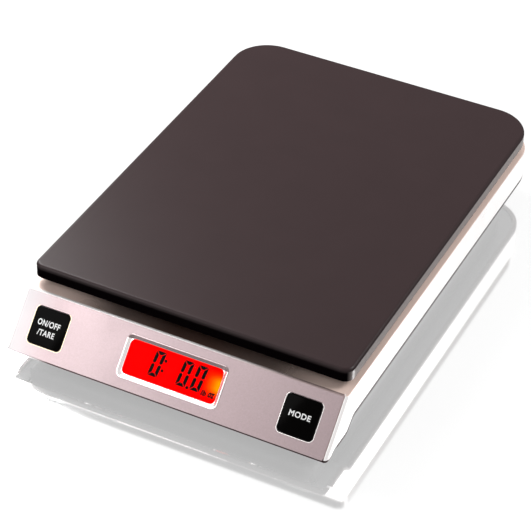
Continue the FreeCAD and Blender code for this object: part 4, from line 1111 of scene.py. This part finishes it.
@dataclass
class Platform(SubAssembly):
    """Weighing platform: the moulded slab, its pressed carrier and the screws between them."""

    top_colour: Colour = srgb(48, 36, 37)
    # Near black sides against the top colour: a painted shade.
    shaded_side_colour: Colour = srgb(7, 4, 5)
    dressing = ((Paint.STEEL, ("platform_carrier",)),
                (Paint.SCREW, ("platform_screws", "load_cell_upper_screws")),
                (Paint.ALUMINIUM, ("load_cell_upper_spacer",)))

    def build(self) -> None:
        """Dresses the platform's pieces."""
        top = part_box("platform_cover")[1].z
        self.shop.dress(
            TopCoated("soft_touch_platform", self.top_colour, 0.42, 0.04, 0.04, grain_mm=0.22,
                      relief_mm=0.005, specular=0.0, shaded_side_colour=self.shaded_side_colour, top_z=top),
            "platform_cover")
        super().build()


@dataclass
class Housing(SubAssembly):
    """Silver housing and the thin fascia let into its slope."""

    ledge_margin_mm: float = 1.0
    # Where the painted shade band along the lower rim runs: the side arch, the skirt and the front
    # corner.
    arch_mm: Pair = (20.0, 29.5)
    skirt_mm: float = 5.6
    corner_mm: float = 8.0

    def build(self) -> None:
        """Dresses the housing's pieces."""
        low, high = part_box("control_panel_fascia")
        margin = self.ledge_margin_mm * MM
        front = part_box("top_housing")[0]
        self.shop.dress(
            ShellPaint("satin_silver_housing", srgb(255, 250, 249), 0.3, 0.02, 0.03, metallic=0.9,
                       relief_mm=0.001, flake_shade=0.03, ledge_z=high.z - margin,
                       front_y=front.y + self.corner_mm * MM,
                       arch_y=tuple(front.y + reach for reach in metres(self.arch_mm)),
                       arch_z=(front.z, front.z + self.skirt_mm * MM)),
            "top_housing")
        self.shop.dress(
            CutSheet("satin_silver_fascia", srgb(152, 136, 138), 0.34, 0.05, 0.03, metallic=0.92,
                     relief_mm=0.003, flake_mm=0.5, outward=self.shop.panel.outward,
                     low_z=low.z + margin),
            "control_panel_fascia")


class Bar(Enum):
    """Bars of a seven-segment digit: which side, which level, and whether it lies flat."""

    TOP = (1, 1, True)
    BOTTOM = (1, -1, True)
    UPPER_LEFT = (-1, 1, False)
    UPPER_RIGHT = (1, 1, False)
    LOWER_LEFT = (-1, -1, False)
    LOWER_RIGHT = (1, -1, False)


ZERO = tuple(Bar)


@dataclass
class Display(SubAssembly):
    """Red back-lit display: frame, lens, cell, light guide, and the digits that it shows."""

    digit_height_mm: float = 12.3
    digit_width_mm: float = 5.15
    bar_mm: float = 1.75
    bar_gap_mm: float = 0.2
    bar_point: float = 0.3
    slant: float = 0.1
    film_mm: float = 0.04
    digit_places_mm: tuple[Pair, ...] = ((-9.3, 16.87), (5.3, 16.87), (12.62, 16.87))
    dots_mm: tuple[Pair, ...] = ((-5.48, 19.4), (-5.79, 14.6), (8.42, 11.16))
    dot_mm: float = 0.78
    dot_sides: int = 20
    unit_words: tuple[tuple[str, float, float], ...] = (("lb", 17.1, 2.7), ("oz", 20.8, 3.1))
    unit_v_mm: float = 11.4
    unit_height_mm: float = 2.7
    unit_weight: float = 0.06
    unit_slant: float = 0.2
    lamp_mm: Pair = (22.6, 16.5)
    window_centre_v_mm: float = 16.1
    # Bands of the frame that take painted shade: the upper inner wall, and where the sunk part
    # begins.
    wall_mm: Pair = (24.3, 26.0)
    buried_mm: Pair = (0.9, 0.2)
    opening_mm: Pair = (48.7, 17.0)
    opening_radius_mm: float = 1.4
    corner_radius_mm: float = 2.5
    lip_mm: float = 0.05
    lip_depth_mm: Pair = (0.02, 0.3)
    dressing = ((Paint.MILKY, ("lcd_backlight",)),
                (Paint.HOLDER, ("lcd_holder",)),
                (Paint.STRIP, ("lcd_connector_strip",)))

    def bar(self, bar: Bar) -> BMesh:
        """One mitred bar of a digit that is centred on the origin.

        Args:
            bar: which bar.

        Returns:
            The mesh work, in millimetres.
        """
        side, level, flat = bar.value
        high, wide = self.digit_height_mm / 2, self.digit_width_mm / 2
        thick, gap = self.bar_mm, self.bar_gap_mm
        if flat:
            points = [(gap - wide, high), (wide - gap, high), (wide - gap - thick, high - thick),
                      (gap + thick - wide, high - thick)]
        else:
            shoulder = gap / 2 + thick * self.bar_point
            points = [(wide, high - gap), (wide, shoulder), (wide - thick / 2, gap / 2),
                      (wide - thick, shoulder), (wide - thick, high - gap - thick)]
        work = bmesh.new()
        work.faces.new([work.verts.new((x * side, y * level, 0.0)) for x, y in points])
        return work

    def digit(self, bars: Sequence[Bar]) -> BMesh:
        """One slanted digit, flat at the origin, in millimetres."""
        return lean(gather(self.bar(bar) for bar in bars), self.slant)

    def dot(self) -> BMesh:
        """One round dot, flat at the origin, in millimetres."""
        work = bmesh.new()
        bmesh.ops.create_circle(work, cap_ends=True, segments=self.dot_sides, radius=self.dot_mm)
        return work

    def unit(self, words: str, width: float) -> BMesh:
        """One slanted unit name, flat at the origin, in millimetres."""
        return lean(lettering(words, width, self.unit_height_mm, self.unit_weight), self.unit_slant)

    def origin(self) -> Pair:
        """X of the panel's middle and v of its lower edge, in metres."""
        x, v = self.shop.extent("lcd_window").centre
        return x, v - self.window_centre_v_mm * MM

    def shown(self, name: str, parts: Iterable[tuple[BMesh, float, float]], height: float) -> None:
        """Lays flat parts on the cell's front face, as one closed piece.

        Args:
            name: the piece's name.
            parts: mesh work with its place across and up the slope, in millimetres.
            height: height of the face, metres.
        """
        x0, v0 = self.origin()
        laid = []
        for work, x, v in parts:
            resize(work, MM, MM, MM)
            laid.append(carry(work, self.shop.panel.frame(x0 + x * MM, v0 + v * MM, height)))
        whole = gather(laid)
        thicken(whole, self.shop.panel.outward * (self.film_mm * MM))
        self.shop.piece(name, whole, Paint.SEGMENT, "housing", "lcd_glass")

    def corners(self) -> BMesh:
        """Fills the frame's inner corners to the rounder outline of the lit area.

        Returns:
            The mesh work in its place, on the lens.
        """
        width, height = metres(self.opening_mm)
        lip = 2 * self.lip_mm * MM
        work = gather((rounded(width, height, self.opening_radius_mm * MM),
                       rounded(width - lip, height - lip, self.corner_radius_mm * MM)))
        bmesh.ops.delete(work, geom=work.faces[:], context="FACES_ONLY")
        bmesh.ops.bridge_loops(work, edges=work.edges[:])
        low, high = metres(self.lip_depth_mm)
        thicken(work, Vector((0.0, 0.0, high - low)))
        lens = self.shop.extent("lcd_window")
        return carry(work, self.shop.panel.frame(*lens.centre, lens.n[1] + low))

    def frame_finish(self) -> FrameFinish:
        """The frame's finish, laid out on the panel.

        Returns:
            The finish.
        """
        edge, depth = metres(self.buried_mm)
        _, v0 = self.origin()
        panel = self.shop.panel
        return FrameFinish(
            "display_frame", srgb(246, 240, 240), 0.24, 0.02, 0.03, metallic=0.9, relief_mm=0.001,
            up_slope=panel.up_slope, outward=panel.outward,
            wall=tuple(v0 + rise for rise in metres(self.wall_mm)),
            hidden=(self.shop.extent("lcd_bezel").v[0] + edge, self.shop.fascia_face() - depth))

    def build(self) -> None:
        """Builds the digits and units and dresses the display's pieces."""
        shop = self.shop
        face = shop.extent("lcd_glass").n[1]
        digits = [(self.digit(ZERO), x, v) for x, v in self.digit_places_mm]
        self.shown("lcd_digits", digits + [(self.dot(), x, v) for x, v in self.dots_mm], face)
        self.shown("lcd_units", [(self.unit(words, width), x, self.unit_v_mm)
                                 for words, x, width in self.unit_words], face)
        places = (start + shift for start, shift in zip(self.origin(), metres(self.lamp_mm)))
        lamp = shop.panel.frame(*places, face).translation
        shop.dress(Backlight("display_backlit_cell", lamp, shop.panel.up_slope, shop.panel.outward),
                   "lcd_glass")
        shop.dress(ClearSheet("display_lens", (0.02, 0.02, 0.02)), "lcd_window")
        frame = self.frame_finish()
        shop.dress(frame, "lcd_bezel")
        shop.piece("lcd_bezel_corners", self.corners(), frame, "housing", "lcd_bezel")
        super().build()


@dataclass
class Key(SubAssembly):
    """One square push key with printed words.

    Each line is its words, its place across and up the slope, its width and its cap height.
    """

    node: str
    plunger: str
    body: str
    lines: tuple[tuple[str, float, float, float, float], ...]
    weight: float = 0.03
    print_mm: float = 0.05
    sink_mm: float = 0.01
    hover_mm: float = 1.0
    opening_mm: Pair = (18.4, 18.8)
    opening_radius_mm: float = 2.4
    # Colour of the painted highlight on the rim round the opening.
    rim_painted_light_colour: Colour = srgb(252, 246, 244)
    rim_mm: float = 0.3
    rim_rise_mm: float = 0.04

    def highlight_ring(self, x: float, v: float, height: float) -> BMesh:
        """Fine rim round the key's opening in the fascia, coloured as a painted highlight.

        Args:
            x: middle of the opening across, metres.
            v: middle of the opening up the slope, metres.
            height: height of the fascia's face, metres.

        Returns:
            The mesh work in its place.
        """
        rim = self.rim_mm * MM
        width, length = (size + 2 * rim for size in metres(self.opening_mm))
        work = rounded(width, length, self.opening_radius_mm * MM + rim)
        inside = work.faces[:]
        bmesh.ops.inset_individual(work, faces=inside, thickness=rim, use_even_offset=True)
        bmesh.ops.delete(work, geom=inside, context="FACES")
        thicken(work, Vector((0.0, 0.0, self.rim_rise_mm * MM)))
        return carry(work, self.shop.panel.frame(x, v, height))

    def printing(self) -> BMesh:
        """The words, laid on the domed face.

        Returns:
            One closed mesh work in its place.
        """
        extent = self.shop.extent(self.node)
        x0, v0 = extent.centre
        start = extent.n[1] + self.hover_mm * MM
        whole = gather(
            carry(lettering(words, width * MM, height * MM, self.weight),
                  self.shop.panel.frame(x0 + x * MM, v0 + v * MM, start))
            for words, x, v, width, height in self.lines)
        surface = self.shop.surface(self.node)
        outward = self.shop.panel.outward
        for vertex in whole.verts:
            found = surface.ray_cast(vertex.co, -outward)[0]
            if found is not None:
                vertex.co = found - outward * (self.sink_mm * MM)
        thicken(whole, outward * (self.print_mm * MM))
        return whole

    def build(self) -> None:
        """Prints the words, builds a painted highlight rim round the opening and dresses the key.
        """
        shop = self.shop
        shop.piece(self.node + "_print", self.printing(), Paint.INK, self.body, self.node)
        shop.dress(KeyGloss("key_gloss", srgb(3, 2, 2), 0.12, 0.2, 0.03, relief_mm=0.0004,
                            grain_mm=1.0, specular=0.02, outward=shop.panel.outward), self.node)
        shop.dress(Paint.PLUNGER, self.plunger)
        x0, v0 = shop.extent(self.node).centre
        finish = PaintedRimHighlight(self.node + "_cut_rim", self.rim_painted_light_colour, 0.26, 0.02, 0.03, metallic=0.9,
                        relief_mm=0.0005, up_slope=shop.panel.up_slope,
                        upper=v0 + self.opening_mm[1] * MM / 2)
        shop.piece(self.node + "_surround", self.highlight_ring(x0, v0, shop.fascia_face()), finish,
                   "housing", "control_panel_fascia")


@dataclass
class Electronics(SubAssembly):
    """Circuit board with its parts, and the two leads that reach it."""

    dressing = ((Paint.SCREW, ("circuit_board_screws",)),
                (Paint.CHIP, ("controller_chip",)),
                (Paint.PART, ("board_components",)),
                (Paint.SWITCH, ("tact_switch_bodies",)),
                (Paint.LEAD_GREY, ("load_cell_lead",)),
                (Paint.LEAD_RED, ("battery_lead",)))

    def build(self) -> None:
        """Dresses the electronics."""
        self.shop.dress(BoardFinish("solder_mask_board", self.shop.panel.up_slope), "circuit_board")
        super().build()


@dataclass
class LoadCell(SubAssembly):
    """Bar load cell on its seats."""

    dressing = ((Paint.ALUMINIUM, ("load_cell", "load_cell_lower_spacer")),
                (Paint.GAUGE, ("strain_gauges",)),
                (Paint.SCREW, ("load_cell_lower_screws", "overload_stop_screw")),
                (Paint.STEEL, ("base_reinforcing_plate",)))


@dataclass
class Base(SubAssembly):
    """Moulded tray with its feet, screws and battery door."""

    arrow_mm: Pair = (7.0, 5.0)
    arrow_rise_mm: float = 0.25
    arrow_place: float = 0.42
    triangle: Pair = (math.sqrt(3), 1.5)
    level_mm: float = 0.001
    dressing = ((Paint.TRAY, ("base_shell", "battery_door")),
                (Paint.SCREW, ("base_screws",)),
                (Paint.FOOT, ("foot_front_left", "foot_front_right",
                              "foot_rear_left", "foot_rear_right")))

    def arrow(self) -> BMesh:
        """Raised arrow head under the battery door that shows which way it opens.

        Returns:
            The mesh work in its place.
        """
        low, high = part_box("battery_door")
        rise = self.arrow_rise_mm * MM
        work = bmesh.new()
        bmesh.ops.create_circle(work, cap_ends=True, segments=3, radius=1.0)
        sizes = zip(metres(self.arrow_mm), self.triangle)
        resize(work, *(size / unit for size, unit in sizes), 1.0)
        middle = ((low.x + high.x) / 2, low.y + (high.y - low.y) * self.arrow_place, low.z)
        bmesh.ops.translate(work, verts=work.verts, vec=middle)
        thicken(work, Vector((0.0, 0.0, -rise)))
        floor = low.z - self.level_mm * MM
        edges = [edge for edge in work.edges if all(end.co.z < floor for end in edge.verts)]
        bmesh.ops.bevel(work, geom=edges, affect="EDGES", offset=rise / 2, segments=2,
                        profile=0.5, material=-1)
        return work

    def build(self) -> None:
        """Builds the door's arrow and dresses the base."""
        super().build()
        self.shop.piece("battery_door_arrow", self.arrow(), Paint.TRAY, "battery_cover",
                        "battery_door")


@dataclass
class Batteries(SubAssembly):
    """The two cells in their bay, with their contacts; the rear cell lies the other way round."""

    dressing = ((Paint.SPRING, ("battery_contact_plates", "battery_contact_springs")),)

    def build(self) -> None:
        """Dresses the cells and contacts."""
        for node, turned in (("battery_front", False), ("battery_rear", True)):
            ends = sorted((corner.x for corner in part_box(node)), reverse=turned)
            self.shop.dress(CellSleeve(node + "_sleeve", *ends), node)
        super().build()


@dataclass(frozen=True)
class SoftLamp:
    """One soft studio lamp."""

    name: str
    place: tuple[float, float, float]
    aim: tuple[float, float, float]
    width: float
    height: float
    power: float

    def hang(self) -> None:
        """Adds the lamp to the scene."""
        lamp = bpy.data.lights.new(self.name, "AREA")
        lamp.shape = "RECTANGLE"
        lamp.size = self.width
        lamp.size_y = self.height
        lamp.energy = self.power
        made = added(self.name, lamp)
        made.location = self.place
        beam = Vector(self.aim) - Vector(self.place)
        made.rotation_euler = beam.to_track_quat("-Z", "Y").to_euler()


@dataclass
class Studio:
    """Pale floor, soft light and the camera."""

    azimuth: float = 25.698
    elevation: float = 38.098
    roll: float = 1.659
    stand: tuple[float, float, float] = (0.36699, -0.78315, 0.68068)
    focal_px: float = 2194.6
    frame_px: float = 531.0
    sensor_mm: float = 36.0
    nearest: float = 0.01
    floor_half: float = 4.0
    floor_greys: Pair = (0.71, 0.73)
    floor_mottle: float = 6.0
    floor_roughness: float = 0.07
    floor_glow: float = 0.4
    floor_mirror: float = 0.8
    world_light: float = 0.3
    backdrop_lift: float = 0.26
    lamps: tuple[SoftLamp, ...] = (
        SoftLamp("key_lamp", (-0.46, 0.22, 0.46), (-0.05, -0.02, 0.04), 0.3, 0.4, 6.0),
        SoftLamp("panel_lamp", (-0.52, -0.62, 0.56), (-0.06, -0.11, 0.02), 0.5, 0.5, 2.6),
        SoftLamp("edge_lamp", (-0.136, -0.219, 0.121), (-0.085, -0.12, 0.02), 0.06, 0.06, 0.01),
        SoftLamp("side_lamp", (0.6, 0.3, 0.62), (0.08, 0.0, 0.03), 0.4, 0.4, 5.0),
    )

    def camera(self) -> None:
        """Adds the camera at the photograph's viewing angle."""
        view = bpy.data.cameras.new("camera")
        view.sensor_width = self.sensor_mm
        view.lens = self.focal_px / self.frame_px * self.sensor_mm
        view.clip_start = self.nearest
        made = added("camera", view)
        turn = Matrix.Rotation(math.radians(self.azimuth), 4, "Z")
        tilt = Matrix.Rotation(math.radians(90 - self.elevation), 4, "X")
        lean = Matrix.Rotation(math.radians(self.roll), 4, "Z")
        made.matrix_world = Matrix.Translation(self.stand) @ turn @ tilt @ lean
        bpy.context.scene.camera = made

    def floor(self) -> None:
        """Adds the pale, slightly glossy floor."""
        work = bmesh.new()
        bmesh.ops.create_grid(work, x_segments=1, y_segments=1, size=self.floor_half)
        mesh = bpy.data.meshes.new("floor")
        work.to_mesh(mesh)
        work.free()
        mesh.materials.append(self.floor_material())
        made = added("floor", mesh)

    def floor_material(self) -> Material:
        """White glossy floor that keeps shadows and shows as white.

        Returns:
            The material.
        """
        graph = Graph("pale_floor")
        mottle = graph.noise(graph.place(), self.floor_mottle)
        dark, light = ((grey, grey, grey) for grey in self.floor_greys)
        graph.set(Base_Color=graph.blend(mottle, dark, light), Roughness=self.floor_roughness,
                  Metallic=self.floor_mirror)
        glow = graph.tree.nodes.new("ShaderNodeEmission")
        graph.feed(glow.inputs["Strength"], self.shown(graph) * self.floor_glow)
        both = graph.tree.nodes.new("ShaderNodeAddShader")
        graph.tree.links.new(graph.shader.outputs[0], both.inputs[0])
        graph.tree.links.new(glow.outputs[0], both.inputs[1])
        graph.tree.links.new(both.outputs[0], graph.output.inputs["Surface"])
        return graph.material

    def shown(self, graph: Graph) -> Signal:
        """Tells the rays of the picture from those that only bring light.

        Args:
            graph: the graph that asks.

        Returns:
            1 for straight rays, mirrored ones and those through clear pieces.
        """
        seen = graph.node("ShaderNodeLightPath", {}, {}, "Is Camera Ray")
        outputs = seen.socket.node.outputs
        for name in ("Is Glossy Ray", "Is Transmission Ray"):
            seen = seen.larger(Signal(graph, outputs[name]))
        return seen

    def world(self) -> None:
        """Even soft light from all round, white where it is seen."""
        world = bpy.data.worlds.new("studio")
        bpy.context.scene.world = world
        world.use_nodes = True
        world.node_tree.nodes.clear()
        graph = Graph.over(world.node_tree)
        background = world.node_tree.nodes.new("ShaderNodeBackground")
        output = world.node_tree.nodes.new("ShaderNodeOutputWorld")
        straight = graph.node("ShaderNodeLightPath", {}, {}, "Is Camera Ray")
        even = self.shown(graph).spread(0.0, 1.0, self.world_light, 1.0)
        graph.feed(background.inputs["Strength"], even + straight * self.backdrop_lift)
        world.node_tree.links.new(background.outputs[0], output.inputs["Surface"])

    def build(self) -> None:
        """Sets the whole studio up."""
        bpy.context.scene.view_settings.view_transform = "Standard"
        self.world()
        self.floor()
        for lamp in self.lamps:
            lamp.hang()
        self.camera()


def main() -> None:
    """Builds the sub-assemblies in order."""
    logging.basicConfig(level=logging.INFO, format="%(name)s: %(message)s")
    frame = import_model()
    shop = Workshop(frame)
    # Each key's rim colour is a painted highlight round its opening.
    tare_key = Key(shop, "on_off_tare_button", "on_off_tare_plunger", "on_off_tare_key",
                   (("ON/OFF", -0.3, 1.9, 11.9, 3.0), ("/TARE", -0.3, -2.8, 9.1, 2.9)),
                   rim_painted_light_colour=srgb(206, 188, 162))
    mode_key = Key(shop, "mode_button", "mode_plunger", "mode_key",
                   (("MODE", 0.0, 0.7, 10.8, 2.8),))
    for part in (Platform(shop), Housing(shop), Display(shop), tare_key, mode_key,
                 Electronics(shop), LoadCell(shop), Base(shop), Batteries(shop), Studio()):
        LOG.info("sub-assembly: %s", type(part).__name__)
        part.build()


if __name__ == "__main__":
    main()
